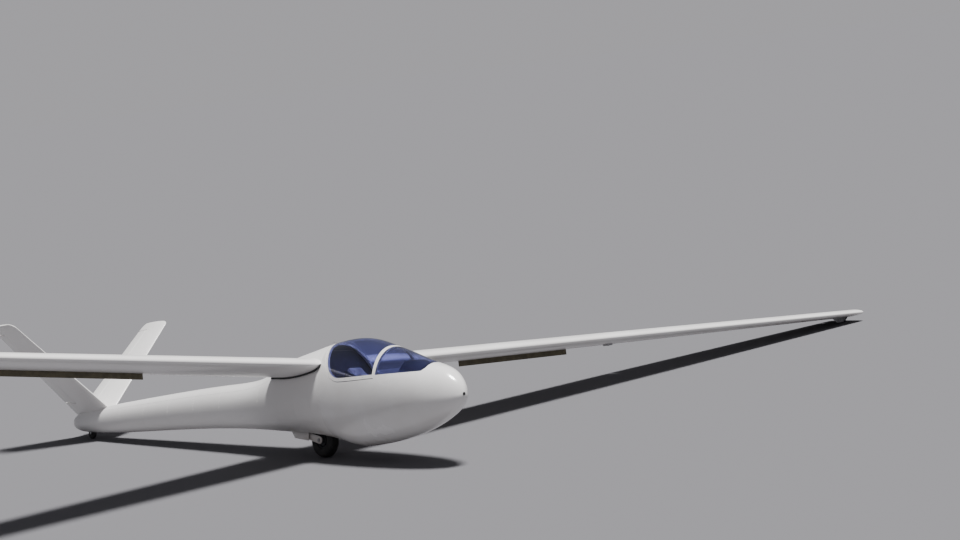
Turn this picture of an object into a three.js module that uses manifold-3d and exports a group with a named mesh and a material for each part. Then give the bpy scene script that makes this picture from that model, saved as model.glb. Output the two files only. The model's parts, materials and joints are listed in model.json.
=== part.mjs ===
// A single-seat sailplane of about 1960: a deep glass-fibre pod, a slim metal boom, shoulder wings,
// a V tail, one main wheel on a trailing fork and a small tail wheel. It stands as it is parked,
// on both wheels and on the port wing tip.
//
// Airframe axes, in millimetres: x to port, y aft, z up. The nose tip is at y = 55, and z = 0 runs through
// the boom.
import * as THREE from "three";
import { mergeVertices } from "three/addons/utils/BufferGeometryUtils.js";
import Module from "manifold-3d";

const wasm = await Module();
wasm.setup();

// Driving dimensions
const GAP = 0.4; // between pieces that touch
const CLEARANCE = 6; // between pieces that move
const END_CLEARANCE = 10; // at the ends of hinged surfaces, whose hinge lines are swept
const RING_POINTS = 32;
const SLIVER = 0.05; // faces thinner than this are merged away

const SKIN = 16; // pod wall
const GLASS = 6;
const FRAME_DEPTH = 24; // canopy and windshield frames, measured into the cockpit
const FRAME_WIDTH = 32;
const FRAME_FRONT = 14; // the canopy frame is narrower where it meets the bow

// The fuselage's outline, with the canopy as part of it.
// station, top, bottom, half-width, level of the widest point
const FUSELAGE = [
  [55, -68, -88, 8, -80],
  [66, -14, -127, 42, -84],
  [89, 30, -158, 73, -82],
  [123, 68, -193, 102, -80],
  [170, 112, -226, 134, -77],
  [253, 161, -271, 174, -72],
  [341, 192, -308, 205, -66],
  [443, 222, -346, 232, -58],
  [628, 280, -400, 262, -46],
  [818, 347, -437, 282, -36],
  [1009, 408, -465, 295, -28],
  [1200, 466, -481, 303, -22],
  [1400, 496, -488, 306, -16],
  [1600, 492, -459, 304, -10],
  [1760, 476, -416, 298, -4],
  [1960, 446, -380, 286, 0],
  [2200, 408, -348, 268, 2],
  [2520, 345, -316, 240, 0],
  [2830, 240, -288, 214, -8],
  [3150, 196, -262, 193, -16],
  [3520, 187, -240, 178, -22],
  [4485, 157, -211, 150, -28],
  [5640, 102, -190, 116, -44],
  [6200, 62, -158, 90, -50],
  [6380, 26, -126, 64, -52],
  [6430, -4, -98, 40, -52],
  [6450, -38, -66, 12, -52],
];
const SECTION_POWER = 2.15; // squareness of the fuselage's sections
const POD_END = 1760;
const CENTRE_END = 3150;
const BOOM_END = 5900;

// Cockpit opening in side view: y, z
const WINDSHIELD_FRONT = [[396, 260], [400, 165], [425, 140]];
const BOW = [944, 138]; // foot of the frame between windshield and canopy
const SILL_FRONT = [962, 106];
// The canopy's opening seen from the side: its sill, then its aft edge, up past the top of the fuselage.
const CANOPY_EDGE = [SILL_FRONT, [1440, 100], [1510, 110], [1581, 145], [1632, 190], [1668, 250], [1812, 545]];

// Wing: span station, chord, thickness ratio, incidence in degrees
const WING = [
  [100, 862, 0.174, 4.6],
  [4200, 715, 0.163, 4.2],
  [7540, 500, 0.155, 3.4],
  [7590, 450, 0.14, 3.4],
  [7612, 375, 0.115, 3.4],
  [7620, 275, 0.07, 3.4],
];
const QUARTER_CHORD_Y = 1974;
const WING_LEVEL = 285; // leading edge at the root
const ROOT_X = 240;
const DIHEDRAL = THREE.MathUtils.degToRad(2.8);
const DESIGN_LIFT = 0.4;
const WING_POINTS = 15; // along each surface
const TIP_X = 7540;

// Trailing-edge surfaces: name, inner end, outer end, hinge as a share of the chord
const SURFACES = [
  ["flap", 330, 4193, 0.78],
  ["aileron", 4207, 7400, 0.78],
];
const BRAKE = { inner: 1850, outer: 3290, chordwise: 0.62, plate: 12, out: 55, inside: 20, roof: 14 };

// V tail: distance out along the surface, chord, leading edge y, thickness ratio
const TAIL = [
  [-40, 700, 5712, 0.1],
  [1245, 468, 6010, 0.09],
  [1305, 415, 6055, 0.08],
  [1330, 305, 6125, 0.05],
];
const TAIL_ANGLE = THREE.MathUtils.degToRad(45);
const TAIL_ROOT = [20, 55]; // x, z of the surfaces' root line
const RUDDERVATOR = { inner: 170, outer: 1200, hinge: 0.66 };

const MAIN_WHEEL = { y: 2080, z: -406, radius: 165, width: 104, rim: 78, sides: 48 };
const TAIL_WHEEL = { y: 6130, z: -178, radius: 58, width: 38, rim: 26, sides: 32 };
const FORK_PIVOT = { y: 2410, z: -318 };
const WELL = { front: 1895, aft: 2480, halfWidth: 86, roof: -150 };

const PAINT = new THREE.MeshStandardMaterial({ color: 0xe9e4de, roughness: 0.35, metalness: 0 });
const PLEXIGLAS = new THREE.MeshStandardMaterial({ color: 0x3c4a78, roughness: 0.05, metalness: 0 });
const RUBBER = new THREE.MeshStandardMaterial({ color: 0x17161a, roughness: 0.8, metalness: 0 });
const STEEL = new THREE.MeshStandardMaterial({ color: 0x8c8c90, roughness: 0.4, metalness: 0.8 });
const PRIMER = new THREE.MeshStandardMaterial({ color: 0x4a4632, roughness: 0.6, metalness: 0 });
const TRIM = new THREE.MeshStandardMaterial({ color: 0x23232b, roughness: 0.7, metalness: 0 });
const CLOTH = new THREE.MeshStandardMaterial({ color: 0x3a2f3d, roughness: 0.9, metalness: 0 });

// A closed geometry as a manifold solid, and back.
function solidOf(geometry) {
  const bare = geometry.clone();
  bare.deleteAttribute("normal");
  bare.deleteAttribute("uv");
  const merged = mergeVertices(bare, 1e-3);
  return new wasm.Manifold(new wasm.Mesh({
    numProp: 3,
    vertProperties: new Float32Array(merged.attributes.position.array),
    triVerts: new Uint32Array(merged.index.array),
  }));
}

function geometryOf(solid) {
  const mesh = solid.simplify(SLIVER).getMesh();
  const geometry = new THREE.BufferGeometry();
  geometry.setAttribute("position", new THREE.BufferAttribute(mesh.vertProperties, 3));
  geometry.setIndex(new THREE.BufferAttribute(mesh.triVerts, 1));
  return geometry.toNonIndexed();
}

// A skin through rings of equally many points, closed by a fan at each end.
function loft(rings) {
  const count = rings[0].length;
  const centre = (ring) => ring.reduce((sum, p) => sum.add(p), new THREE.Vector3()).divideScalar(count);
  const points = [...rings.flat(), centre(rings[0]), centre(rings.at(-1))];
  const first = rings.length * count;
  const faces = [];
  for (let i = 0; i < count; i++) {
    const next = (i + 1) % count;
    for (let r = 0; r + 1 < rings.length; r++) {
      const a = r * count;
      const b = a + count;
      faces.push(a + i, a + next, b + next, a + i, b + next, b + i);
    }
    const last = (rings.length - 1) * count;
    faces.push(next, i, first, last + i, last + next, first + 1);
  }
  const geometry = new THREE.BufferGeometry().setFromPoints(points);
  geometry.setIndex(faces);
  const solid = solidOf(geometry);
  if (solid.volume() > 0) return solid;
  for (let i = 0; i < faces.length; i += 3) [faces[i], faces[i + 1]] = [faces[i + 1], faces[i]];
  geometry.setIndex(faces);
  return solidOf(geometry);
}

// A side-view outline of [y, z] points, extruded across the airframe from x0 to x1.
function slab(outline, x0, x1) {
  const shape = new THREE.Shape(outline.map(([y, z]) => new THREE.Vector2(y, z)));
  const geometry = new THREE.ExtrudeGeometry(shape, { depth: x1 - x0, bevelEnabled: false });
  const across = new THREE.Matrix4().makeBasis(
    new THREE.Vector3(0, 1, 0), new THREE.Vector3(0, 0, 1), new THREE.Vector3(1, 0, 0));
  geometry.applyMatrix4(across.setPosition(x0, 0, 0));
  return solidOf(geometry);
}

function box(x0, x1, y0, y1, z0, z1) {
  const geometry = new THREE.BoxGeometry(x1 - x0, y1 - y0, z1 - z0);
  return solidOf(geometry.translate((x0 + x1) / 2, (y0 + y1) / 2, (z0 + z1) / 2));
}

// A round bar across the airframe.
function crossBar(y, z, radius, x0, x1, sides = 24) {
  const geometry = new THREE.CylinderGeometry(radius, radius, x1 - x0, sides);
  return solidOf(geometry.rotateZ(Math.PI / 2).translate((x0 + x1) / 2, y, z));
}

// A ring turned about the x axis through y, z, from a profile of [x, radius] points.
function turned(profile, y, z, segments) {
  const points = [...profile, profile[0]].map(([x, radius]) => new THREE.Vector2(radius, x));
  const geometry = new THREE.LatheGeometry(points, segments).rotateZ(-Math.PI / 2).translate(0, y, z);
  const solid = solidOf(geometry);
  if (solid.volume() > 0) return solid;
  return solidOf(new THREE.LatheGeometry(points.reverse(), segments).rotateZ(-Math.PI / 2).translate(0, y, z));
}

// A smooth curve through one column of a table, read at a station of its first column.
function read(table, column, at) {
  const last = table.length - 1;
  let i = 0;
  while (i < last - 1 && at > table[i + 1][0]) i++;
  const slope = (k) => {
    const a = table[Math.max(k - 1, 0)];
    const b = table[Math.min(k + 1, last)];
    return (b[column] - a[column]) / (b[0] - a[0]);
  };
  const [from, to] = [table[i], table[i + 1]];
  const span = to[0] - from[0];
  const t = THREE.MathUtils.clamp((at - from[0]) / span, 0, 1);
  const rise = to[column] - from[column];
  const bend = (slope(i) * span - rise) * (1 - t) - (slope(i + 1) * span - rise) * t;
  return from[column] + rise * t + t * (1 - t) * bend;
}

// One section of the fuselage, drawn in by inset.
function fuselageRing(y, inset) {
  const [top, bottom, half, level] = [1, 2, 3, 4].map((column) => read(FUSELAGE, column, y));
  const points = [];
  for (let i = 0; i < RING_POINTS; i++) {
    const angle = (i / RING_POINTS) * 2 * Math.PI;
    const reach = (value) => Math.sign(value) * Math.abs(value) ** (2 / SECTION_POWER);
    const height = Math.sin(angle) > 0 ? top - level - inset : level - bottom - inset;
    points.push(new THREE.Vector3(
      reach(Math.cos(angle)) * (half - inset), y, level + reach(Math.sin(angle)) * height));
  }
  return points;
}

function fuselage(inset) {
  const stations = FUSELAGE.map((row) => row[0]);
  const kept = inset > 0 ? stations.filter((y) => y > 80 && y < 2300) : stations;
  return loft(kept.map((y) => fuselageRing(y, inset)));
}

const hull = fuselage(0);
// Its facets lean one way, so what is trimmed to it is trimmed to its mirror image too.
const hullGrown = fuselage(-GAP).add(fuselage(-GAP).mirror([1, 0, 0]));
const ACROSS = [-600, 600];
const above = 900; // higher than anything on the fuselage

// The pod is a shell, cut open along the sill.
const OPENING = [...WINDSHIELD_FRONT, BOW, [SILL_FRONT[0], BOW[1]], ...CANOPY_EDGE,
  [CANOPY_EDGE.at(-1)[0], above], [WINDSHIELD_FRONT[0][0], above]];
const BULKHEAD = [[1390, -600], [1420, -120], [1470, 66], [1522, 92], [1594, 130], [1646, 180], [1684, 246],
  [1824, 540], [1824, above]];
const cockpitSpace = fuselage(SKIN).intersect(slab([[90, above], [90, -600], ...BULKHEAD], ...ACROSS));

const TOW_HOOK = { z: -88, radius: 17, front: 52, aft: 130 };
function towHook(grow) {
  const geometry = new THREE.CylinderGeometry(TOW_HOOK.radius + grow, TOW_HOOK.radius + grow,
    TOW_HOOK.aft - TOW_HOOK.front, 20);
  return solidOf(geometry.translate(0, (TOW_HOOK.aft + TOW_HOOK.front) / 2, TOW_HOOK.z));
}

const wheelWell = box(-WELL.halfWidth, WELL.halfWidth, WELL.front, WELL.aft, -700, WELL.roof);
const tailSlot = box(-TAIL_WHEEL.width / 2 - 8, TAIL_WHEEL.width / 2 + 8,
  TAIL_WHEEL.y - TAIL_WHEEL.radius - 10, TAIL_WHEEL.y + TAIL_WHEEL.radius + 10, -400, TAIL_WHEEL.z + 72);

const openHull = hull.subtract(slab(OPENING, ...ACROSS)).subtract(cockpitSpace);
const podShell = openHull.intersect(box(...ACROSS, 0, POD_END - GAP, -700, above)).subtract(towHook(GAP));
const centreFuselage = openHull.intersect(box(...ACROSS, POD_END, CENTRE_END - GAP, -700, above))
  .subtract(wheelWell);
const tailBoom = hull.intersect(box(...ACROSS, CENTRE_END, BOOM_END - GAP, -700, above));
const tailCone = hull.intersect(box(...ACROSS, BOOM_END, 6500, -700, above)).subtract(tailSlot);

// Windshield, the bow behind it, and the canopy, all cut from the same outline.
const shell = (depth) => hull.subtract(fuselage(depth));
const bowFoot = BOW[1] + GAP;
const windshieldBow = shell(FRAME_DEPTH).intersect(slab([
  [BOW[0], bowFoot], [SILL_FRONT[0], bowFoot], [SILL_FRONT[0], above], [BOW[0], above]], ...ACROSS));
const lifted = ([y, z]) => [y + GAP, z + GAP];
const windshield = shell(GLASS).intersect(slab([
  ...WINDSHIELD_FRONT.map(lifted), [BOW[0] - GAP, bowFoot], [BOW[0] - GAP, above],
  [WINDSHIELD_FRONT[0][0] + GAP, above]], ...ACROSS));

// The line through two corners of the edge, moved in by inset; where two lines cross; and a point at a height.
function edgeLine([y0, z0], [y1, z1], inset) {
  const length = Math.hypot(y1 - y0, z1 - z0);
  const [dy, dz] = [(y1 - y0) / length, (z1 - z0) / length];
  return { y: y0 - dz * inset, z: z0 + dy * inset, dy, dz };
}
const crossing = (a, b) => {
  const along = ((b.y - a.y) * b.dz - (b.z - a.z) * b.dy) / (a.dy * b.dz - a.dz * b.dy);
  return [a.y + a.dy * along, a.z + a.dz * along];
};
const atHeight = ({ y, z, dy, dz }, height) => [y + (dy / dz) * (height - z), height];

// The canopy's outline, drawn in by inset from its edge, and by another inset along its front.
function canopyOutline(inset, frontInset) {
  const edge = CLEARANCE + inset;
  const front = { y: SILL_FRONT[0] + CLEARANCE + frontInset, z: 0, dy: 0, dz: 1 };
  const lines = CANOPY_EDGE.slice(1).map((corner, i) => edgeLine(CANOPY_EDGE[i], corner, edge));
  const corners = lines.slice(1).map((line, i) => crossing(lines[i], line));
  return [crossing(front, lines[0]), ...corners, atHeight(lines.at(-1), above), [front.y, above]];
}
const canopyFrame = shell(FRAME_DEPTH).intersect(slab(canopyOutline(0, 0), ...ACROSS))
  .subtract(slab(canopyOutline(FRAME_WIDTH, FRAME_FRONT), ...ACROSS));
const canopyGlass = shell(GLASS)
  .intersect(slab(canopyOutline(FRAME_WIDTH + GAP, FRAME_FRONT + GAP), ...ACROSS));

// Cockpit fittings, trimmed to the inside of the pod.
const roomInside = fuselage(SKIN + 10);
function band(line, thickness) {
  const back = line.map(([y, z], i) => {
    const [y0, z0] = line[Math.max(i - 1, 0)];
    const [y1, z1] = line[Math.min(i + 1, line.length - 1)];
    const length = Math.hypot(y1 - y0, z1 - z0);
    return [y + ((z1 - z0) / length) * thickness, z - ((y1 - y0) / length) * thickness];
  });
  return [...line, ...back.reverse()];
}
const SEAT_LINE = [[855, -318], [920, -347], [1130, -378], [1220, -345], [1310, -130], [1395, 80]];
const seatPan = slab(band(SEAT_LINE, 12), -195, 195).intersect(roomInside);
const shift = (line, dy, dz) => line.map(([y, z]) => [y + dy, z + dz]);
const seatBelow = slab(band(shift(SEAT_LINE, 0, 1), 60), -300, 300);
const seatCushion = slab(band(shift([[870, -325], [920, -347], [1115, -376]], 0, 48), 45), -165, 165)
  .intersect(fuselage(SKIN + 34)).subtract(seatBelow);
const backCushion = slab(band([[1185, -300], [1285, -112], [1362, 78]], 42), -170, 170)
  .translate(0, -8, 20).intersect(fuselage(SKIN + 34)).subtract(seatBelow);
const headrest = slab(band([[1452, 158], [1566, 246]], 130), -85, 85)
  .subtract(slab(shift([...BULKHEAD, [2300, above], [2300, -600]], -2, 0), ...ACROSS));
const floorBoard = slab([[330, -250], [830, -336], [830, -346], [330, -260]], -190, 190).intersect(roomInside);
// The panel stands under a cowl that follows the inside of the windshield, flat on top, open below and in front.
const COWL = { front: 385, aft: 690, foot: 112, top: 243, wall: 7 };
const underCowl = fuselage(SKIN + 10 + COWL.wall).intersect(box(...ACROSS, 0, 900, 0, COWL.top - COWL.wall));
const cowl = box(...ACROSS, COWL.front, COWL.aft, COWL.foot, COWL.top).subtract(underCowl);
const instrumentPanel = slab([[642, -120], [655, 238], [677, 238], [662, -120]], -205, 205)
  .add(cowl).intersect(roomInside);
const STICK = [[795, -325], [790, -230], [772, -130], [766, -50]];
const stickPath = new THREE.CatmullRomCurve3(STICK.map(([y, z]) => new THREE.Vector3(0, y, z)));
const roundSection = new THREE.Shape(new THREE.EllipseCurve(0, 0, 13, 13).getPoints(10).slice(0, -1));
const controlStick = solidOf(new THREE.ExtrudeGeometry(roundSection, { extrudePath: stickPath, steps: 10 }));
const pedal = (x) => box(x - 42, x + 42, 392, 404, -200, -80);
const rudderPedals = pedal(70).add(pedal(-70)).add(crossBar(410, -188, 8, -115, 115, 12));

// Main wheel on a trailing fork that folds up and aft about a pivot in its well.
const tyreProfile = ({ radius, width, rim }) => {
  const [half, tube] = [width / 2, width * 0.42];
  return [[-half * 0.72, rim], [-half, rim + tube * 0.45], [-half, radius - tube * 0.75],
    [-half * 0.82, radius - tube * 0.28], [-half * 0.42, radius - 5], [0, radius],
    [half * 0.42, radius - 5], [half * 0.82, radius - tube * 0.28], [half, radius - tube * 0.75],
    [half, rim + tube * 0.45], [half * 0.72, rim]];
};
const rimProfile = ({ width, rim }, bore) => {
  const half = width / 2;
  return [[-half * 0.78, bore], [-half * 0.78, bore + 12], [-half * 0.3, bore + 16], [-half * 0.3, rim - 16],
    [-half * 0.7, rim - 8], [-half * 0.7, rim - GAP], [half * 0.7, rim - GAP], [half * 0.7, rim - 8],
    [half * 0.3, rim - 16], [half * 0.3, bore + 16], [half * 0.78, bore + 12], [half * 0.78, bore]];
};
const AXLE_RADIUS = 11;
const mainTyre = turned(tyreProfile(MAIN_WHEEL), 0, 0, MAIN_WHEEL.sides);
const mainRim = turned(rimProfile(MAIN_WHEEL, AXLE_RADIUS + 0.5), 0, 0, 32);
const mainAxle = crossBar(MAIN_WHEEL.y, MAIN_WHEEL.z, AXLE_RADIUS, -78, 78);
const ARM = { inner: 60, outer: 70, height: 36 };
function forkArm(x0, x1) {
  const run = new THREE.Vector2(FORK_PIVOT.y - MAIN_WHEEL.y, FORK_PIVOT.z - MAIN_WHEEL.z);
  const side = new THREE.Vector2(-run.y, run.x).setLength(ARM.height);
  const [ay, az] = [MAIN_WHEEL.y, MAIN_WHEEL.z];
  const [py, pz] = [FORK_PIVOT.y, FORK_PIVOT.z];
  const arm = slab([[ay + side.x, az + side.y], [ay - side.x, az - side.y], [py - side.x * 0.7, pz - side.y * 0.7],
    [py + side.x * 0.7, pz + side.y * 0.7]], x0, x1);
  return arm.add(crossBar(ay, az, ARM.height, x0, x1)).add(crossBar(py, pz, ARM.height * 0.7, x0, x1));
}
const gearFork = forkArm(ARM.inner, ARM.outer).add(forkArm(-ARM.outer, -ARM.inner))
  .add(crossBar(FORK_PIVOT.y, FORK_PIVOT.z, 14, -84, 84))
  .add(box(-ARM.outer, ARM.outer, 2268, 2280, -380, -320))
  .subtract(crossBar(MAIN_WHEEL.y, MAIN_WHEEL.z, AXLE_RADIUS + GAP, -90, 90));
const DOOR = { thickness: 5, outline: [[2206, -310], [2214, -405], [2425, -372], [2478, -295]] };
function gearDoor(side) {
  const hinge = side * (WELL.halfWidth + 5);
  const [x0, x1] = [hinge - DOOR.thickness / 2, hinge + DOOR.thickness / 2];
  return slab(DOOR.outline, x0, x1).subtract(hullGrown);
}

const tailTyre = turned(tyreProfile(TAIL_WHEEL), 0, 0, TAIL_WHEEL.sides);
const tailRim = turned(rimProfile(TAIL_WHEEL, 6.5), 0, 0, 24);
const tailAxle = crossBar(TAIL_WHEEL.y, TAIL_WHEEL.z, 6, -26, 26, 16);
// The fork is carried in the tail cone's slot and holds the axle in two cheeks.
const tailFork = (() => {
  const cheek = (x0, x1) => box(x0, x1, TAIL_WHEEL.y - 13, TAIL_WHEEL.y + 13, TAIL_WHEEL.z - 14, TAIL_WHEEL.z + 70.5);
  const [near, far] = [TAIL_WHEEL.width / 2 + 3, TAIL_WHEEL.width / 2 + 7];
  return cheek(near, far).add(cheek(-far, -near))
    .add(box(-far, far, TAIL_WHEEL.y - 13, TAIL_WHEEL.y + 13, TAIL_WHEEL.z + 64, TAIL_WHEEL.z + 70.5))
    .subtract(crossBar(TAIL_WHEEL.y, TAIL_WHEEL.z, 6 + GAP, -40, 40, 16));
})();

// Half thickness and camber of a laminar section, both as shares of the chord.
const FRONT_TERMS = [0.2969, -0.24685, 0.17527, -0.26684];
const REAR_TERMS = [0.002, 0.315, -0.2333, -0.0324];
const THICKEST = 0.4;
function halfThickness(x, ratio) {
  const [a0, a1, a2, a3] = FRONT_TERMS;
  const [d0, d1, d2, d3] = REAR_TERMS;
  const u = 1 - x;
  const shape = x < THICKEST
    ? a0 * Math.sqrt(x) + a1 * x + a2 * x ** 2 + a3 * x ** 3
    : d0 + d1 * u + d2 * u ** 2 + d3 * u ** 3;
  return (ratio / 0.2) * shape;
}
function camber(x, lift) {
  if (x <= 0 || x >= 1) return 0;
  return (-lift / (4 * Math.PI)) * ((1 - x) * Math.log(1 - x) + x * Math.log(x));
}

// A section's outline as [x, z] shares of the chord, from the trailing edge over the top and back.
function sectionOutline(ratio, lift) {
  const along = (i) => (1 - Math.cos((i / WING_POINTS) * Math.PI)) / 2;
  const top = [];
  const bottom = [];
  for (let i = 0; i <= WING_POINTS; i++) {
    const x = along(i);
    top.push([x, camber(x, lift) + halfThickness(x, ratio)]);
    bottom.push([x, camber(x, lift) - halfThickness(x, ratio)]);
  }
  return [...top.reverse(), ...bottom.slice(1)];
}

// Places the wing's section at x, and turns [share of chord, height as a share] into a point.
function wingFrame(x) {
  let i = 0;
  while (i < WING.length - 2 && x > WING[i + 1][0]) i++;
  const share = (x - WING[i][0]) / (WING[i + 1][0] - WING[i][0]);
  const [chord, ratio, incidence] = [1, 2, 3].map((c) => THREE.MathUtils.lerp(WING[i][c], WING[i + 1][c], share));
  const tilt = THREE.MathUtils.degToRad(incidence);
  const lead = new THREE.Vector3(x, QUARTER_CHORD_Y - 0.25 * chord, WING_LEVEL + (x - ROOT_X) * Math.tan(DIHEDRAL));
  const place = (along, up) => new THREE.Vector3(x, lead.y + (along * Math.cos(tilt) + up * Math.sin(tilt)) * chord,
    lead.z + (up * Math.cos(tilt) - along * Math.sin(tilt)) * chord);
  return { chord, ratio, tilt, place };
}
function tailFrame(out) {
  let i = 0;
  while (i < TAIL.length - 2 && out > TAIL[i + 1][0]) i++;
  const share = (out - TAIL[i][0]) / (TAIL[i + 1][0] - TAIL[i][0]);
  const [chord, lead, ratio] = [1, 2, 3].map((c) => THREE.MathUtils.lerp(TAIL[i][c], TAIL[i + 1][c], share));
  const [cos, sin] = [Math.cos(TAIL_ANGLE), Math.sin(TAIL_ANGLE)];
  const place = (along, up) => new THREE.Vector3(TAIL_ROOT[0] + out * cos - up * chord * sin, lead + along * chord,
    TAIL_ROOT[1] + out * sin + up * chord * cos);
  return { chord, ratio, place };
}

// Rings of a surface's sections, and a four-sided bar through them.
const skinRing = (frame, lift) => sectionOutline(frame.ratio, lift).map(([along, up]) => frame.place(along, up));
function bar(frameAt, stations, corners) {
  return loft(stations.map((at) => {
    const frame = frameAt(at);
    return corners(frame).map(([along, up]) => frame.place(along, up));
  }));
}
// The round nose of a control surface: points about its hinge from one angle to another, in degrees.
function nose(frame, hinge, lift, grow, from, to, steps) {
  const radius = halfThickness(hinge, frame.ratio) + grow / frame.chord;
  const points = [];
  for (let i = 0; i <= steps; i++) {
    const angle = THREE.MathUtils.degToRad(from + ((to - from) * i) / steps);
    points.push(frame.place(hinge + radius * Math.cos(angle), camber(hinge, lift) + radius * Math.sin(angle)));
  }
  return points;
}
// A control surface's own section: its skin aft of the hinge, closed by the round nose.
function surfaceRing(frame, hinge, lift) {
  const skin = (x, side) => frame.place(x, camber(x, lift) + side * halfThickness(x, frame.ratio));
  const shares = [1, 0.8, 0.6, 0.4, 0.2].map((k) => hinge + (1 - hinge) * k);
  return [...shares.map((x) => skin(x, 1)), ...nose(frame, hinge, lift, 0, 90, 270, 8),
    ...shares.reverse().map((x) => skin(x, -1))];
}
// What lies aft of a share of the chord.
const aftOf = (share, shiftBy = 0) => (frame) => {
  const from = share + shiftBy / frame.chord;
  return [[from, -0.3], [1.2, -0.3], [1.2, 0.3], [from, 0.3]];
};
const movingSurface = (frameAt, { inner, outer, hinge }, lift) =>
  loft([inner, outer].map((at) => surfaceRing(frameAt(at), hinge, lift)));
// Takes a control surface's bay out of a wing or stabiliser.
function cutBay(whole, frameAt, { inner, outer, hinge }, lift) {
  const bay = [inner - END_CLEARANCE, outer + END_CLEARANCE];
  const round = loft(bay.map((at) => nose(frameAt(at), hinge, lift, CLEARANCE, 0, 345, 23)));
  return whole.subtract(bar(frameAt, bay, aftOf(hinge))).subtract(round);
}

const wingLoft = (from, to) => loft([from, ...WING.map((row) => row[0]).filter((x) => x > from && x < to), to]
  .map((x) => skinRing(wingFrame(x), DESIGN_LIFT)));
let wingBody = wingLoft(WING[0][0], TIP_X - GAP).subtract(hullGrown);
for (const [, inner, outer, hinge] of SURFACES) {
  wingBody = cutBay(wingBody, wingFrame, { inner, outer, hinge }, DESIGN_LIFT);
}
const brakeSides = (halfWidth, low, high) => (frame) => {
  const { chordwise } = BRAKE;
  const reach = halfWidth / frame.chord;
  const under = camber(chordwise, DESIGN_LIFT) - halfThickness(chordwise, frame.ratio);
  const [from, to] = [low(frame, under), high(frame, under)];
  return [[chordwise - reach, from], [chordwise + reach, from], [chordwise + reach, to], [chordwise - reach, to]];
};
const brakeEnds = [BRAKE.inner, BRAKE.outer];
const slotRoof = (frame) => camber(BRAKE.chordwise, DESIGN_LIFT)
  + halfThickness(BRAKE.chordwise, frame.ratio) - BRAKE.roof / frame.chord;
wingBody = wingBody.subtract(bar(wingFrame, [BRAKE.inner - CLEARANCE, BRAKE.outer + CLEARANCE],
  brakeSides(BRAKE.plate / 2 + CLEARANCE, () => -0.3, slotRoof)));
const brakePlate = bar(wingFrame, brakeEnds, brakeSides(BRAKE.plate / 2,
  (frame, under) => under - BRAKE.out / frame.chord, (frame, under) => under + BRAKE.inside / frame.chord));
const wingTip = wingLoft(TIP_X, WING.at(-1)[0]);

// Pieces under the wing, cut to lie against its skin.
const SKID = { x: 7450, halfWidth: 14, from: 0.25, to: 0.7, drop: 46 };
const TIE_DOWN = { x: 3700, halfWidth: 35, from: 0.3, to: 0.4, drop: 14 };
function underWing({ x, halfWidth, from, to, drop }, taper) {
  const frame = wingFrame(x);
  const under = camber(from, DESIGN_LIFT) - halfThickness((from + to) / 2, frame.ratio);
  const low = under - drop / frame.chord;
  const cut = (to - from) * taper;
  const corners = [[from, under + 0.03], [from + cut, low], [to - cut, low], [to, under + 0.03]];
  const ring = (at) => corners.map(([along, up]) => frame.place(along, up).setX(at));
  return loft([ring(x - halfWidth), ring(x + halfWidth)]).subtract(wingBody.translate(0, 0, -GAP));
}
const tipSkid = underWing(SKID, 0.3);
const tieDown = underWing(TIE_DOWN, 0.02);

const tailLoft = loft(TAIL.map(([out]) => skinRing(tailFrame(out), 0))).subtract(hullGrown)
  .intersect(box(GAP / 2, 2000, 5000, 7000, -500, 2000));
const stabiliser = cutBay(tailLoft, tailFrame, RUDDERVATOR, 0);

// The airframe, with each hinged piece in a group whose x axis is its hinge.
const airframe = new THREE.Group();
const placed = new Map();

function node(name, solid, material, parent = airframe) {
  const mesh = new THREE.Mesh(geometryOf(solid), material);
  mesh.name = name;
  parent.add(mesh);
  placed.set(name, mesh);
  return mesh;
}
function hingeGroup(name, point, axis) {
  const group = new THREE.Group();
  group.name = `${name}_axis`;
  group.position.copy(point);
  group.quaternion.setFromUnitVectors(new THREE.Vector3(1, 0, 0), axis.clone().normalize());
  airframe.add(group);
  return group;
}
// A piece drawn in airframe axes, moved into its hinge's own axes.
function hinged(name, solid, material, group) {
  const mesh = node(name, solid, material, group);
  group.updateMatrix();
  mesh.geometry.applyMatrix4(group.matrix.clone().invert());
  return mesh;
}

node("pod_shell", podShell, PAINT);
node("centre_fuselage", centreFuselage, PAINT);
node("tail_boom", tailBoom, PAINT);
node("tail_cone", tailCone, PAINT);
node("windshield", windshield, PLEXIGLAS);
node("windshield_bow", windshieldBow, PAINT);
node("tow_hook", towHook(0), STEEL);
node("seat_pan", seatPan, PRIMER);
node("seat_cushion", seatCushion, CLOTH);
node("back_cushion", backCushion, CLOTH);
node("headrest", headrest, CLOTH);
node("floor_board", floorBoard, PRIMER);
node("instrument_panel", instrumentPanel, TRIM);
node("control_stick", controlStick, TRIM);
node("rudder_pedals", rudderPedals, STEEL);
node("gear_fork", gearFork, PAINT);
node("main_axle", mainAxle, STEEL);
node("tail_fork", tailFork, STEEL);
node("tail_axle", tailAxle, STEEL);

// The canopy is hinged across the top of its aft edge.
const CANOPY_HINGE = atHeight(edgeLine(...CANOPY_EDGE.slice(-2), CLEARANCE / 2), 480);
const ACROSS_AXIS = new THREE.Vector3(1, 0, 0);
const canopyHinge = hingeGroup("canopy", new THREE.Vector3(0, ...CANOPY_HINGE), ACROSS_AXIS);
hinged("canopy_frame", canopyFrame, PAINT, canopyHinge);
hinged("canopy_glass", canopyGlass, PLEXIGLAS, canopyHinge);

const mainWheel = hingeGroup("main_wheel", new THREE.Vector3(0, MAIN_WHEEL.y, MAIN_WHEEL.z), ACROSS_AXIS);
node("main_tyre", mainTyre, RUBBER, mainWheel);
node("main_rim", mainRim, STEEL, mainWheel);
const tailWheel = hingeGroup("tail_wheel", new THREE.Vector3(0, TAIL_WHEEL.y, TAIL_WHEEL.z), ACROSS_AXIS);
node("tail_tyre", tailTyre, RUBBER, tailWheel);
node("tail_rim", tailRim, STEEL, tailWheel);

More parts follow.
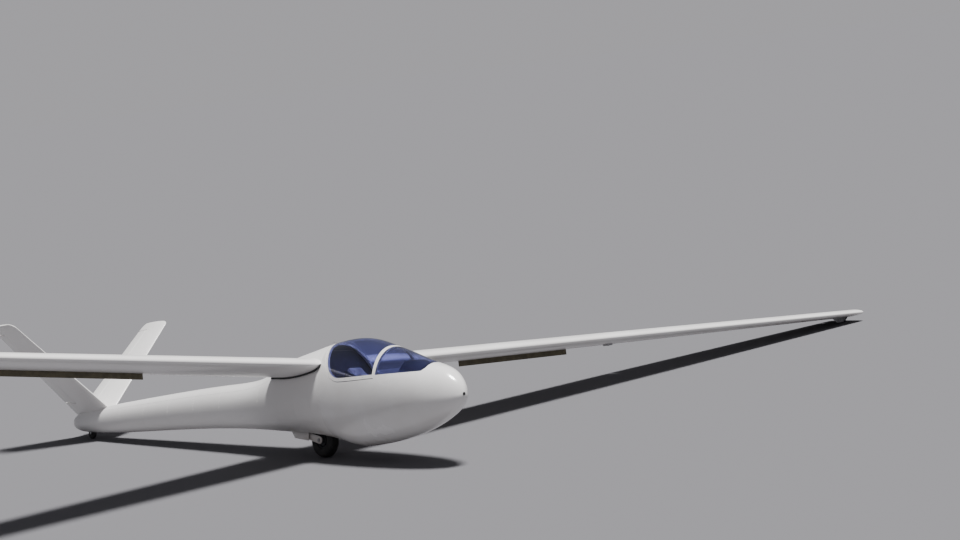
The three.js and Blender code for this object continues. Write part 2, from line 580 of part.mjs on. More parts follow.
// Both sides of the airframe: what is drawn for port is mirrored for starboard.
const SIDES = [["port", 1], ["starboard", -1]];
for (const [sideName, sign] of SIDES) {
  const onSide = (solid) => (sign > 0 ? solid : solid.mirror([1, 0, 0]));
  const flip = (v) => v.clone().setX(v.x * sign);
  const turning = (name, frameAt, { inner, outer, hinge }, lift) => {
    const [from, to] = [inner, outer].map((at) => flip(frameAt(at).place(hinge, camber(hinge, lift))));
    const along = to.clone().sub(from).multiplyScalar(sign);
    const group = hingeGroup(`${name}_${sideName}`, from.lerp(to, 0.5), along);
    hinged(`${name}_${sideName}`, onSide(movingSurface(frameAt, { inner, outer, hinge }, lift)), PAINT, group);
  };
  node(`wing_${sideName}`, onSide(wingBody), PAINT);
  node(`wing_tip_${sideName}`, onSide(wingTip), PAINT);
  node(`tip_skid_${sideName}`, onSide(tipSkid), STEEL);
  node(`tie_down_${sideName}`, onSide(tieDown), STEEL);
  node(`stabiliser_${sideName}`, onSide(stabiliser), PAINT);
  node(`gear_door_${sideName}`, gearDoor(sign), PAINT);
  for (const [name, inner, outer, hinge] of SURFACES) {
    turning(name, wingFrame, { inner, outer, hinge }, DESIGN_LIFT);
  }
  turning("ruddervator", tailFrame, RUDDERVATOR, 0);
  const middle = wingFrame((BRAKE.inner + BRAKE.outer) / 2);
  const down = flip(middle.place(BRAKE.chordwise, -0.1).sub(middle.place(BRAKE.chordwise, 0.1)));
  const brakeSlide = hingeGroup(`dive_brake_${sideName}`, flip(middle.place(BRAKE.chordwise, 0)), down);
  hinged(`dive_brake_${sideName}`, onSide(brakePlate), PRIMER, brakeSlide);
}

// Parked attitude: the plane under both wheels and the port tip skid becomes the ground, with the nose
// towards +Y.
const FEET = ["main_tyre", "tail_tyre", "tip_skid_port"];

function lowest(name, up) {
  const mesh = placed.get(name);
  mesh.updateWorldMatrix(true, false);
  const positions = mesh.geometry.getAttribute("position");
  const point = new THREE.Vector3();
  let best = null;
  for (let i = 0; i < positions.count; i++) {
    point.fromBufferAttribute(positions, i).applyMatrix4(mesh.matrixWorld);
    if (!best || point.dot(up) < best.dot(up)) best = point.clone();
  }
  return best;
}
// Turns a wheel so that it stands on a flat of its outline, not on a corner.
function standOnFlat(wheel, sides, up) {
  wheel.rotation.set(Math.atan2(-up.y, up.z) + Math.PI / sides, 0, 0);
}
function groundNormal() {
  let up = new THREE.Vector3(0, 0, 1);
  for (let round = 0; round < 8; round++) {
    standOnFlat(mainWheel, MAIN_WHEEL.sides, up);
    standOnFlat(tailWheel, TAIL_WHEEL.sides, up);
    const [main, tail, tip] = FEET.map((name) => lowest(name, up));
    up = tip.sub(main).cross(tail.sub(main)).normalize();
    if (up.z < 0) up.negate();
  }
  return up;
}
const up = groundNormal();
const forward = new THREE.Vector3(0, -1, 0).addScaledVector(up, up.y).normalize();
const starboard = forward.clone().cross(up);
const parked = new THREE.Matrix4().makeBasis(starboard, forward, up).transpose();
airframe.quaternion.setFromRotationMatrix(parked);

const glider = new THREE.Group();
glider.add(airframe);
const bounds = new THREE.Box3().setFromObject(glider, true);
const middle = bounds.getCenter(new THREE.Vector3());
airframe.position.set(-middle.x, -middle.y, -bounds.min.z);

export default glider;
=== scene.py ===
import json
import math

import bmesh
import bpy
import numpy as np
from mathutils import Matrix, Vector


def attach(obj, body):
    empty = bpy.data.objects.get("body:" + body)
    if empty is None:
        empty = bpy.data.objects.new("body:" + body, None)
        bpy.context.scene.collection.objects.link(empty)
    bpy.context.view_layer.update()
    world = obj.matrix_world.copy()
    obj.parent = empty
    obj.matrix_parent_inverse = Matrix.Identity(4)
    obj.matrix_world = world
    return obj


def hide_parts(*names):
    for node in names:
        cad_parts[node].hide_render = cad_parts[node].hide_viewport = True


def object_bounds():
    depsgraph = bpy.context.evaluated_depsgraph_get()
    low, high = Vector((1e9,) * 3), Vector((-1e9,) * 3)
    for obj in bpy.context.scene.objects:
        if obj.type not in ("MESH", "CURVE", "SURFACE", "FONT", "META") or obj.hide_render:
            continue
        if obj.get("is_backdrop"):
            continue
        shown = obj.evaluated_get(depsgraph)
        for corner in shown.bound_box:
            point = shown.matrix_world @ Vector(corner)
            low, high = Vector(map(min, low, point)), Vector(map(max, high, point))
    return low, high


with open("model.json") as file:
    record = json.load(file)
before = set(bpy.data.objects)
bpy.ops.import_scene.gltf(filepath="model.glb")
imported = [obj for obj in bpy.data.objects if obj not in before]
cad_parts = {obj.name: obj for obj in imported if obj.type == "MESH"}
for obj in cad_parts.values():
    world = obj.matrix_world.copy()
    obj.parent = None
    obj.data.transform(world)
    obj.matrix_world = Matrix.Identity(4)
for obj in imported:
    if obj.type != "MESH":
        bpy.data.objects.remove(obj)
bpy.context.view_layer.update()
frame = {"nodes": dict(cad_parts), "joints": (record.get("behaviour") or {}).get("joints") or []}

# The camera stands ahead of the starboard wing, a little below the cockpit's floor, as the photograph's did
# when the glider ran level. It is placed in airframe axes: x to port, y aft, z up, in metres, found from the
# two wheels, which the frame gives in the attitude that the glider is parked in.
MAIN_HUB = Vector((0, 2.080, -0.406))
TAIL_HUB = Vector((0, 6.130, -0.178))
joints = {joint["name"]: joint for joint in frame["joints"]}


def axes_from(across, along):
    across = across.normalized()
    upward = across.cross(along).normalized()
    return Matrix((across, upward.cross(across), upward)).transposed()


def in_scene(name, data):
    """A new object in the scene, for a mesh, a light or a camera."""
    thing = bpy.data.objects.new(name, data)
    bpy.context.scene.collection.objects.link(thing)
    return thing


parked_main = Vector(joints["main_wheel_spin"]["pos_m"])
parked_tail = Vector(joints["tail_wheel_spin"]["pos_m"])
parked_turn = (axes_from(Vector(joints["main_wheel_spin"]["axis"]), parked_tail - parked_main)
               @ axes_from(Vector((1, 0, 0)), TAIL_HUB - MAIN_HUB).transposed())
AIRFRAME = Matrix.Translation(parked_main - parked_turn @ MAIN_HUB) @ parked_turn.to_4x4()

CAMERA_AT = Vector((-13.518, -15.706, -0.415))
CAMERA_HEADING = math.radians(41.19)
CAMERA_RISE = math.radians(3.84)
CAMERA_ROLL = math.radians(-3.73)
CAMERA_LENS = 89.52
ahead = Vector((math.sin(CAMERA_HEADING) * math.cos(CAMERA_RISE),
                math.cos(CAMERA_HEADING) * math.cos(CAMERA_RISE), math.sin(CAMERA_RISE)))
level_right = ahead.cross(Vector((0, 0, 1))).normalized()
right = Matrix.Rotation(CAMERA_ROLL, 3, -ahead) @ level_right
aim = Matrix((right, right.cross(ahead), -ahead)).transposed()
camera = in_scene("camera", bpy.data.cameras.new("camera"))
camera.data.lens = CAMERA_LENS
camera.data.sensor_width = 36
camera.data.clip_end = 500
camera.matrix_world = AIRFRAME @ Matrix.Translation(CAMERA_AT) @ aim.to_4x4()
bpy.context.scene.camera = camera

# A plain pale studio: a wide matt floor, a backdrop of the same brightness, and one broad light high up, a
# little ahead and to starboard. The starboard wing shades the fuselage's side behind the cockpit.
FLOOR_HALF = 300
FLOOR_COLOUR = (0.160, 0.157, 0.165)
BACKDROP = (0.405, 0.398, 0.418, 1)
SKY_LIGHT = (0.86, 0.88, 0.95, 1)
SKY_STRENGTH = 0.24
SUN_FROM = Vector((-0.09, -0.32, 1.0))
SUN_STRENGTH = 7.5
SUN_SPREAD = math.radians(12)


def finish(name, colour, roughness, **sockets):
    """A new material with its shader's own sockets set."""
    material = bpy.data.materials.new(name)
    material.use_nodes = True
    shader = material.node_tree.nodes["Principled BSDF"]
    shader.inputs["Base Color"].default_value = (*colour, 1)
    shader.inputs["Roughness"].default_value = roughness
    for socket, value in sockets.items():
        shader.inputs[socket.replace("_", " ")].default_value = value
    return material


def added_node(tree, kind, inputs, **settings):
    """A new shader node, each input of which gets a value or the output of another node."""
    node = tree.nodes.new(f"ShaderNode{kind}")
    for name, value in settings.items():
        setattr(node, name, value)
    for socket, value in inputs.items():
        if isinstance(value, bpy.types.NodeSocket):
            tree.links.new(value, node.inputs[socket])
        else:
            node.inputs[socket].default_value = value
    return node


floor_mesh = bpy.data.meshes.new("studio_floor")
floor_corners = [(x * FLOOR_HALF, y * FLOOR_HALF, 0) for x, y in ((-1, -1), (1, -1), (1, 1), (-1, 1))]
floor_mesh.from_pydata(floor_corners, [], [(0, 1, 2, 3)])
floor_mesh.materials.append(finish("studio_floor", FLOOR_COLOUR, 1.0, Specular_IOR_Level=0.0))
in_scene("studio_floor", floor_mesh)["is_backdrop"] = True

sun = in_scene("studio_sun", bpy.data.lights.new("studio_sun", "SUN"))
sun.data.energy = SUN_STRENGTH
sun.data.angle = SUN_SPREAD
sun.matrix_world = (AIRFRAME.to_3x3() @ SUN_FROM).to_track_quat("Z", "Y").to_matrix().to_4x4()
world = bpy.data.worlds.new("studio")
bpy.context.scene.world = world
world.use_nodes = True
air = world.node_tree
sky = air.nodes["Background"]
sky.inputs["Color"].default_value = SKY_LIGHT
sky.inputs["Strength"].default_value = SKY_STRENGTH
backdrop = added_node(air, "Background", {"Color": BACKDROP})
ray = added_node(air, "LightPath", {})
seen = added_node(air, "MixShader", {0: ray.outputs["Is Camera Ray"], 1: sky.outputs[0],
                                     2: backdrop.outputs[0]})
air.links.new(seen.outputs[0], air.nodes["World Output"].inputs["Surface"])

# The pod is moulded in glass fibre as two halves, joined along the top and the keel, and finished in a glossy
# white gel coat that is faintly mottled and blended towards a darker brown low down. It is a shell, open
# along the canopy sill, and closed behind the seat by a sloping bulkhead.
# station, top, bottom, half-width, level of the widest point, in millimetres
HULL = np.array([
    [53, -78, -78, 0, -80],
    [66, -14, -127, 42, -84],
    [89, 30, -158, 73, -82],
    [123, 68, -193, 102, -80],
    [170, 112, -226, 134, -77],
    [253, 161, -271, 174, -72],
    [341, 192, -308, 205, -66],
    [443, 222, -346, 232, -58],
    [628, 280, -400, 262, -46],
    [818, 347, -437, 282, -36],
    [1009, 408, -465, 295, -28],
    [1200, 466, -481, 303, -22],
    [1400, 496, -488, 306, -16],
    [1600, 492, -459, 304, -10],
    [1760, 476, -416, 298, -4],
    [1960, 446, -380, 286, 0],
    [2200, 408, -348, 268, 2],
    [2520, 345, -316, 240, 0],
    [2830, 240, -288, 214, -8],
    [3150, 196, -262, 193, -16],
    [3520, 187, -240, 178, -22],
    [4485, 157, -211, 150, -28],
    [5640, 102, -190, 116, -44],
    [6200, 62, -158, 90, -50],
    [6380, 26, -126, 64, -52],
    [6430, -4, -98, 40, -52],
    [6452, -52, -52, 0, -52],
]) / 1000
HULL_SQUARENESS = 2.15
HULL_RING = 96
ROUND_NOSE, ROUND_TAIL = 0.1, 6.4
POD_WALL = 0.016
POD_END = 1.760
GAP = 0.0004
MOULD_SEAM = 0.0011
SEAM_HALF, SEAM_TURN = 0.0022, 0.008
HULL_STEPS, ROUND_STEP = 6000, 26


def run_along(line):
    """The distance along a line of each of its points."""
    return np.concatenate([[0], np.cumsum(np.linalg.norm(np.diff(line, axis=0), axis=1))])


def slopes_through(at, values, first, last):
    """The slopes that make a cubic curve through the values bend smoothly, with its two end slopes given."""
    count = len(at)
    step = np.diff(at)
    matrix = np.eye(count)
    known = np.zeros_like(values)
    known[0], known[-1] = first, last
    for i in range(1, count - 1):
        before, after = 1 / step[i - 1], 1 / step[i]
        matrix[i, i - 1:i + 2] = before, 2 * (before + after), after
        known[i] = 3 * ((values[i] - values[i - 1]) * before ** 2 + (values[i + 1] - values[i]) * after ** 2)
    return np.linalg.solve(matrix, known)


def smooth_curve(at, values, first, last, count):
    """Points evenly spaced on the cubic curve through the values, with its two end slopes given."""
    slopes = slopes_through(at, values, first, last)
    where = np.linspace(0, at[-1], count)
    i = np.clip(np.searchsorted(at, where, side="right") - 1, 0, len(at) - 2)
    span = (at[i + 1] - at[i])[:, None]
    t = ((where - at[i]) / span[:, 0])[:, None]
    return ((1 + 2 * t) * (1 - t) ** 2 * values[i] + t * (1 - t) ** 2 * span * slopes[i]
            + t ** 2 * (3 - 2 * t) * values[i + 1] + t ** 2 * (t - 1) * span * slopes[i + 1])


half_depth = (HULL[:, 1] - HULL[:, 2]) / 2
hull_run = run_along(np.stack([HULL[:, 0], half_depth], 1))
hull_fine = smooth_curve(hull_run, HULL, [0, 1, -1, 0.75, 0], [0, -1, 1, -0.9, 0], HULL_STEPS)
hull_fine[:, 0] = np.maximum.accumulate(hull_fine[:, 0])


def hull_at(y):
    """The fuselage's top, bottom, half-width and level of the widest point at a station."""
    return [np.interp(y, hull_fine[:, 0], hull_fine[:, k]) for k in (1, 2, 3, 4)]


def powered(number, power):
    """A number raised to a power, with its sign kept."""
    return np.abs(number) ** power * np.sign(number)


def hull_point(y, angle, inset=0.0):
    """Points on the fuselage's skin at stations y and angles round it, drawn in by inset."""
    y, angle = np.broadcast_arrays(np.asarray(y, float), np.asarray(angle, float))
    top, bottom, half_width, level = hull_at(y)
    reach = powered(np.cos(angle), 2 / HULL_SQUARENESS)
    rise = powered(np.sin(angle), 2 / HULL_SQUARENESS)
    height = np.where(rise > 0, top - level, level - bottom) - inset
    return np.stack([reach * np.maximum(half_width - inset, 0), y, level + rise * np.maximum(height, 0)], -1)


def wall_at(y, z, depth):
    """How far out the fuselage's skin is at a place in side view, at a depth inside it."""
    top, bottom, half_width, level = hull_at(y)
    height = max((top - level if z > level else level - bottom) - depth, 1e-4)
    rise = min(abs(z - level) / height, 1)
    return (half_width - depth) * (1 - rise ** HULL_SQUARENESS) ** (1 / HULL_SQUARENESS)


def with_lines(places, lines, half_width, ends=()):
    """Adds narrow seams, and two ends, to a list of places. It also says how deep each place is, 0 to 1."""
    edges = [line + side * half_width for line in lines for side in (-3, -1, 0, 1, 3)]
    clear = [p for p in places if all(abs(p - line) > 4 * half_width for line in lines)]
    found = sorted(set(clear) | set(edges))
    depth = [float(any(abs(p - line) < half_width / 2 for line in lines)) for p in found]
    if ends:
        found, depth = [ends[0], *found, ends[1]], [0, *depth, 0]
    return np.array(found), np.array(depth)


def moved(points, place):
    """An array of points, moved by a matrix."""
    return np.asarray(points, float).reshape(-1, 3) @ np.array(place.to_3x3()).T + np.array(place.translation)


def made(name, points, faces):
    """A smooth-shaded piece from points in airframe axes."""
    mesh = bpy.data.meshes.new(name)
    mesh.from_pydata(moved(points, AIRFRAME).tolist(), [], faces)
    mesh.validate()
    form = bmesh.new()
    form.from_mesh(mesh)
    bmesh.ops.recalc_face_normals(form, faces=form.faces)
    form.to_mesh(mesh)
    form.free()
    mesh.shade_smooth()
    return in_scene(name, mesh)


def lofted(name, rings, endless=False):
    """A closed skin through rings that have equally many points. Its ends are capped, or meet."""
    rings = np.array(rings)
    rows, count = rings.shape[:2]
    faces = []
    for row in range(rows if endless else rows - 1):
        here, there = row * count, (row + 1) % rows * count
        for i in range(count):
            j = (i + 1) % count
            faces.append((here + i, here + j, there + j, there + i))
    if not endless:
        faces.append(tuple(range(count)))
        faces.append(tuple(range((rows - 1) * count, rows * count)))
    return made(name, rings, faces)


def settled(piece):
    """Makes what the piece's modifiers give its mesh."""
    graph = bpy.context.evaluated_depsgraph_get()
    mesh = bpy.data.meshes.new_from_object(piece.evaluated_get(graph))
    piece.modifiers.clear()
    piece.data = mesh


def carved(piece, tool, how="DIFFERENCE", keep_tool=False):
    """Cuts the piece with a tool, which is then thrown away."""
    step = piece.modifiers.new("carve", "BOOLEAN")
    step.operation = how
    step.object = tool
    step.solver = "MANIFOLD"
    settled(piece)
    if not keep_tool:
        bpy.data.objects.remove(tool)
    return piece


def side_slab(outline, low_x, high_x):
    """A block with the outline given as [y, z] in side view, from low_x to high_x."""
    count = len(outline)
    points = [(x, y, z) for x in (low_x, high_x) for y, z in outline]
    faces = [tuple(range(count)), tuple(range(count, 2 * count))]
    faces += [(i, (i + 1) % count, count + (i + 1) % count, count + i) for i in range(count)]
    return made("slab", points, faces)


def crisp(piece, angle=28):
    """Smooth shading, broken at edges sharper than the angle in degrees."""
    piece.data.shade_smooth()
    piece.data.set_sharp_from_angle(angle=math.radians(angle))
    return piece


def painted(piece, material):
    """Gives a piece one finish, in place of any that it has."""
    piece.data.materials.clear()
    piece.data.materials.append(material)
    return piece


def fastened(piece, body, slot, material, *nodes):
    """Gives a piece its finish and its body, and says which solids it stands for."""
    if material:
        painted(piece, material)
    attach(piece, body)
    if nodes:
        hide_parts(*nodes)
    return piece


TO_AIRFRAME = AIRFRAME.inverted()


def airframe_place(tree):
    """Where a point of the surface is in airframe axes, for a material's node tree."""
    place = added_node(tree, "TexCoord", {})
    turned = added_node(tree, "Mapping", {"Vector": place.outputs["Object"],
                                          "Rotation": TO_AIRFRAME.to_euler(),
                                          "Location": TO_AIRFRAME.translation})
    return turned.outputs["Vector"]


def noise(tree, place, scale, detail):
    return added_node(tree, "TexNoise", {"Vector": place, "Scale": scale, "Detail": detail}).outputs["Fac"]


def bumped(tree, height_from, height):
    """Raises a finish's surface where a node's output is high, by height in metres."""
    bump = added_node(tree, "Bump", {"Height": height_from, "Distance": height})
    tree.links.new(bump.outputs["Normal"], tree.nodes["Principled BSDF"].inputs["Normal"])


def mottled(material, colours, scale, roughness, stretch=(1, 1, 1)):
    """Varies a finish between its colours, and its roughness between two values, in soft patches."""
    tree = material.node_tree
    shader = tree.nodes["Principled BSDF"]
    spread = added_node(tree, "Mapping", {"Vector": airframe_place(tree), "Scale": stretch})
    patches = noise(tree, spread.outputs["Vector"], scale, 6)
    ramp = added_node(tree, "ValToRGB", {"Fac": patches})
    for stop, position, colour in zip(ramp.color_ramp.elements, (0.32, 0.68), colours):
        stop.position = position
        stop.color = (*colour, 1)
    tree.links.new(ramp.outputs["Color"], shader.inputs["Base Color"])
    rough = added_node(tree, "MapRange", {"Value": patches, "To Min": roughness[0], "To Max": roughness[1]})
    tree.links.new(rough.outputs["Result"], shader.inputs["Roughness"])
    return ramp.outputs["Color"]


def grained(material, scale, height, detail=3):
    """Gives a finish a fine unevenness, height in metres."""
    tree = material.node_tree
    bumped(tree, noise(tree, airframe_place(tree), scale, detail), height)
    return material


def browned_below(material, clean, level, depth, low_colour):
    """Blends a finish's colour towards a darker brown, more below a level and with a ragged edge."""
    tree = material.node_tree
    place = airframe_place(tree)
    split = added_node(tree, "SeparateXYZ", {"Vector": place})
    edge = added_node(tree, "Math", {0: noise(tree, place, 9, 8), 1: depth * 1.6, 2: split.outputs["Z"]},
                      operation="MULTIPLY_ADD")
    amount = added_node(tree, "MapRange", {"Value": edge.outputs["Value"], "From Min": level + depth * 0.8,
                                           "From Max": level - depth * 0.2, "To Max": 0.55})
    mix = added_node(tree, "Mix", {"Factor": amount.outputs["Result"], "A": clean, "B": (*low_colour, 1)},
                     data_type="RGBA")
    tree.links.new(mix.outputs["Result"], tree.nodes["Principled BSDF"].inputs["Base Color"])


WHITE = (0.86, 0.84, 0.83)
WHITE_AGED = (0.80, 0.775, 0.755)
# the darker brown that the lowest parts of the pod and the fuselage are blended towards
LOW_BROWN = (0.42, 0.33, 0.27)
gel_coat = finish("gel_coat", WHITE, 0.2, Coat_Weight=0.6, Coat_Roughness=0.08)
gel_white = mottled(gel_coat, (WHITE_AGED, WHITE), 3.2, (0.17, 0.33))
browned_below(gel_coat, gel_white, -0.43, 0.16, LOW_BROWN)
grained(gel_coat, 14, 0.0006)

OPEN_SPACE = 0.9
WINDSHIELD_FRONT = [(0.396, 0.260), (0.400, 0.165), (0.425, 0.140)]
BOW = (0.944, 0.138)
CANOPY_CORNERS = [(0.962, 0.106), (1.440, 0.100), (1.510, 0.110), (1.581, 0.145), (1.632, 0.190),
                  (1.668, 0.250), (1.812, 0.545)]
BULKHEAD = [(1.390, -0.600), (1.420, -0.120), (1.470, 0.066), (1.522, 0.092), (1.594, 0.130),
            (1.646, 0.180), (1.684, 0.246), (1.824, 0.540), (1.824, OPEN_SPACE)]
ACROSS = (-0.6, 0.6)


def eased(line, rounds=3):
    """Rounds a line's corners by cutting them off again and again. Its two ends stay."""
    line = np.array(line)
    for _ in range(rounds):
        near, far = line[:-1] * 0.75 + line[1:] * 0.25, line[:-1] * 0.25 + line[1:] * 0.75
        between = np.stack([near, far], 1).reshape(-1, line.shape[1])
        line = np.concatenate([line[:1], between, line[-1:]])
    return line


CANOPY_EDGE = eased(CANOPY_CORNERS)
CANOPY_START = CANOPY_EDGE[0][0]


def hull_part(name, start, end, seams=(), angles=(), spacing=0.032, inset=0.0):
    """A length of the fuselage, solid, with seams pressed into its skin."""
    start = max(start, HULL[0, 0] + GAP)
    places = np.linspace(start, end, max(int((end - start) / spacing), 8))[1:-1]
    if start < ROUND_NOSE or end > ROUND_TAIL:
        places = [y for y in hull_fine[::ROUND_STEP, 0] if start < y < end]
    stations, ring_depth = with_lines(places, seams, SEAM_HALF, (start, end))
    around = np.linspace(0, 2 * math.pi, HULL_RING, endpoint=False) + math.pi / HULL_RING
    turn, turn_depth = with_lines(around, angles, SEAM_TURN)
    skin = hull_point(stations[:, None], turn, inset)
    deeper = hull_point(stations[:, None], turn, inset + MOULD_SEAM)
    groove = np.maximum(ring_depth[:, None], turn_depth)[..., None]
    return lofted(name, skin * (1 - groove) + deeper * groove)


cockpit_room = hull_part("cockpit_room", 0.09, 2.0, inset=POD_WALL)
carved(cockpit_room, side_slab([(0.09, OPEN_SPACE), (0.09, -0.6), *BULKHEAD], *ACROSS), "INTERSECT")
OPENING = [*WINDSHIELD_FRONT, BOW, (CANOPY_START, BOW[1]), *CANOPY_EDGE,
           (CANOPY_EDGE[-1][0], OPEN_SPACE), (WINDSHIELD_FRONT[0][0], OPEN_SPACE)]
canopy_hole = side_slab(OPENING, *ACROSS)
pod = hull_part("pod_skin", 0, POD_END - GAP, angles=[math.pi / 2, math.pi * 1.5], spacing=0.024)
carved(pod, cockpit_room, keep_tool=True)
carved(pod, canopy_hole, keep_tool=True)
fastened(crisp(pod), "airframe", "gel_coat", gel_coat, "pod_shell")


def lined(piece, material, depth, along=(0, 9), level=(-1, 1)):
    """Another finish for the faces deeper than this inside the skin, between two stations and two levels."""
    piece.data.materials.append(material)
    for face in piece.data.polygons:
        x, y, z = TO_AIRFRAME @ face.center
        inside = abs(x) < wall_at(y, z, depth)
        if inside and along[0] < y < along[1] and level[0] < z < level[1]:
            face.material_index = len(piece.data.materials) - 1


LINING_DEPTH = 0.012
# The inner faces of the pod's shell are coloured near black: painted shade for the dark inside of the
# cockpit.
shade_lining = finish("cockpit_lining", (0.035, 0.034, 0.045), 0.8)
mottled(shade_lining, ((0.026, 0.025, 0.034), (0.05, 0.048, 0.06)), 30, (0.7, 0.9))
lined(pod, shade_lining, LINING_DEPTH)

# The centre section, boom and tail cone are sheet aluminium over frames, riveted along every joint and
# painted white. The wheel well is cut into the belly of the centre section.
CENTRE_END = 3.150
BOOM_END = 5.900
CENTRE_FRAMES = [1.905, 2.20, 2.50, 2.83]
BOOM_FRAMES = [3.52, 3.99, 4.46, 4.93, 5.40]
CONE_FRAMES = [6.02, 6.26]
LAP_ANGLES = [math.radians(a) for a in (38, 142, 218, 322)]
WELL_HALF, WELL_FRONT, WELL_AFT, WELL_ROOF = 0.086, 1.895, 2.480, -0.150
SLOT_HALF, SLOT_FRONT, SLOT_AFT, SLOT_ROOF = 0.027, 6.062, 6.198, -0.106
PRIMED_DEPTH, PRIMED_EDGE = 0.001, 0.010

paint = finish("white_paint", WHITE, 0.3, Coat_Weight=0.3, Coat_Roughness=0.15)
paint_white = mottled(paint, (WHITE_AGED, WHITE), 1.7, (0.24, 0.42), stretch=(1, 0.35, 1))
# The paint too is blended towards the darker brown low down, on the belly and the wheel's fork and doors.
browned_below(paint, paint_white, -0.30, 0.14, LOW_BROWN)
grained(paint, 5, 0.0012, detail=2)


def block(low, high):
    x0, y0, z0 = low
    x1, y1, z1 = high
    return side_slab([(y0, z0), (y1, z0), (y1, z1), (y0, z1)], x0, x1)


centre = hull_part("centre_section", POD_END, CENTRE_END - GAP, CENTRE_FRAMES, LAP_ANGLES)
carved(centre, cockpit_room)
carved(centre, canopy_hole)
carved(centre, block((-WELL_HALF, WELL_FRONT, -0.7), (WELL_HALF, WELL_AFT, WELL_ROOF)))
fastened(crisp(centre), "airframe", "paint", paint, "centre_fuselage")
# The centre section's inner faces at the cockpit's aft end get the same near-black painted shade.
lined(centre, shade_lining, LINING_DEPTH, (1.7, 1.86), (0.0, 0.6))
primer = finish("olive_primer", (0.12, 0.105, 0.06), 0.6)
mottled(primer, ((0.085, 0.075, 0.045), (0.15, 0.13, 0.08)), 18, (0.5, 0.75))
lined(centre, primer, PRIMED_DEPTH, (WELL_FRONT - PRIMED_EDGE, WELL_AFT + PRIMED_EDGE),
      (-0.5, WELL_ROOF + PRIMED_EDGE))
boom = hull_part("tail_boom_skin", CENTRE_END, BOOM_END - GAP, BOOM_FRAMES, LAP_ANGLES)
fastened(crisp(boom), "airframe", "paint", paint, "tail_boom")
cone = hull_part("tail_cone_skin", BOOM_END, HULL[-1, 0] - GAP, CONE_FRAMES, LAP_ANGLES)
carved(cone, block((-SLOT_HALF, SLOT_FRONT, -0.4), (SLOT_HALF, SLOT_AFT, SLOT_ROOF)))
fastened(crisp(cone), "airframe", "paint", paint, "tail_cone")
lined(cone, primer, PRIMED_DEPTH, (SLOT_FRONT - PRIMED_EDGE, SLOT_AFT + PRIMED_EDGE),
      (-0.2, SLOT_ROOF + PRIMED_EDGE))

HEX_TURN = np.arange(6) * math.pi / 3


def spokes(turn, side, front):
    """Directions at angles from one direction towards another. The two may be lists of directions."""
    return np.cos(turn)[:, None] * side[..., None, :] + np.sin(turn)[:, None] * front[..., None, :]


def six_sided(name, heads):
    """Six-sided heads in one mesh, each of them three rings of six points."""
    one = [tuple(range(5, -1, -1)), tuple(range(12, 18))]
    one += [(6 * k + i, 6 * k + (i + 1) % 6, 6 * k + 6 + (i + 1) % 6, 6 * k + 6 + i)
            for k in (0, 1) for i in range(6)]
    faces = [tuple(18 * n + corner for corner in face) for n in range(len(heads)) for face in one]
    return made(name, heads, faces)


def studs(name, surface, u, v, radius, height, sign=1):
    """Rounded rivet or screw heads on a surface at its places u and v, all in one mesh."""
    step = 1e-4
    base = surface(u, v)
    across = surface(u + step, v) - surface(u - step, v)
    out = sign * np.cross(across, surface(u, v + step) - surface(u, v - step))
    out /= np.linalg.norm(out, axis=1)[:, None]
    side = np.cross(out, across)
    side /= np.linalg.norm(side, axis=1)[:, None]
    ring = spokes(HEX_TURN, side, np.cross(side, out))
    levels = ((radius, -0.3 * height), (radius * 0.92, 0.5 * height), (radius * 0.45, height))
    rings = [(base + rise * out)[:, None] + reach * ring for reach, rise in levels]
    return six_sided(name, np.stack(rings, 1))


RIVET_RADIUS, RIVET_HEIGHT, RIVET_PITCH, RIVET_ROW = 0.0032, 0.0012, 0.042, 0.011
# how far rivets stay from the wheel well and the tail slot, across and along, and from the canopy's opening
CLEAR_ACROSS, CLEAR_ALONG = 0.008, 0.010
CANOPY_CLEAR, CANOPY_LEVEL = 1.84, 0.05


def hull_rivets(name, start, end, frames):
    """Two rows of rivets at each frame and one at each lap of a length of fuselage, clear of openings."""
    spots = []
    for frame_at in frames:
        girth = 2 * math.pi * float(hull_at(frame_at)[2])
        turn = np.arange(0, 2 * math.pi, 2 * math.pi / int(girth / RIVET_PITCH))
        spots += [(frame_at + row, angle) for row in (-RIVET_ROW, RIVET_ROW) for angle in turn]
    for lap in LAP_ANGLES:
        for y in np.arange(start + 0.03, end - 0.02, RIVET_PITCH):
            if all(abs(y - frame_at) > 0.03 for frame_at in frames):
                spots.append((y, lap + RIVET_ROW / hull_at(y)[2]))
    u, v = np.array([spot for spot in spots if start < spot[0] < end]).T
    x, y, z = hull_point(u, v).T
    under = np.zeros(len(u), bool)
    for half, front, aft in ((WELL_HALF, WELL_FRONT, WELL_AFT), (SLOT_HALF, SLOT_FRONT, SLOT_AFT)):
        along = (y > front - CLEAR_ALONG) & (y < aft + CLEAR_ALONG)
        under |= along & (abs(x) < half + CLEAR_ACROSS) & (z < 0)
    kept = ~(under | (y < CANOPY_CLEAR) & (z > CANOPY_LEVEL))
    heads = studs(name, hull_point, u[kept], v[kept], RIVET_RADIUS, RIVET_HEIGHT)
    return fastened(heads, "airframe", "paint", paint)


END_ROW = 0.014
hull_rivets("centre_rivets", POD_END, CENTRE_END, [POD_END + 0.016, *CENTRE_FRAMES, CENTRE_END - END_ROW])
hull_rivets("boom_rivets", CENTRE_END, BOOM_END, [CENTRE_END + END_ROW, *BOOM_FRAMES, BOOM_END - END_ROW])
hull_rivets("cone_rivets", BOOM_END, 6.34, [BOOM_END + END_ROW, *CONE_FRAMES])

# The tow hook sits in a tube in the nose: a steel claw that holds the cable's ring until it is let go.
HOOK_AT, HOOK_LEVEL, HOOK_RADIUS = 0.056, -0.088, 0.017
BORE_START, BORE_LENGTH = 0.030, 0.100
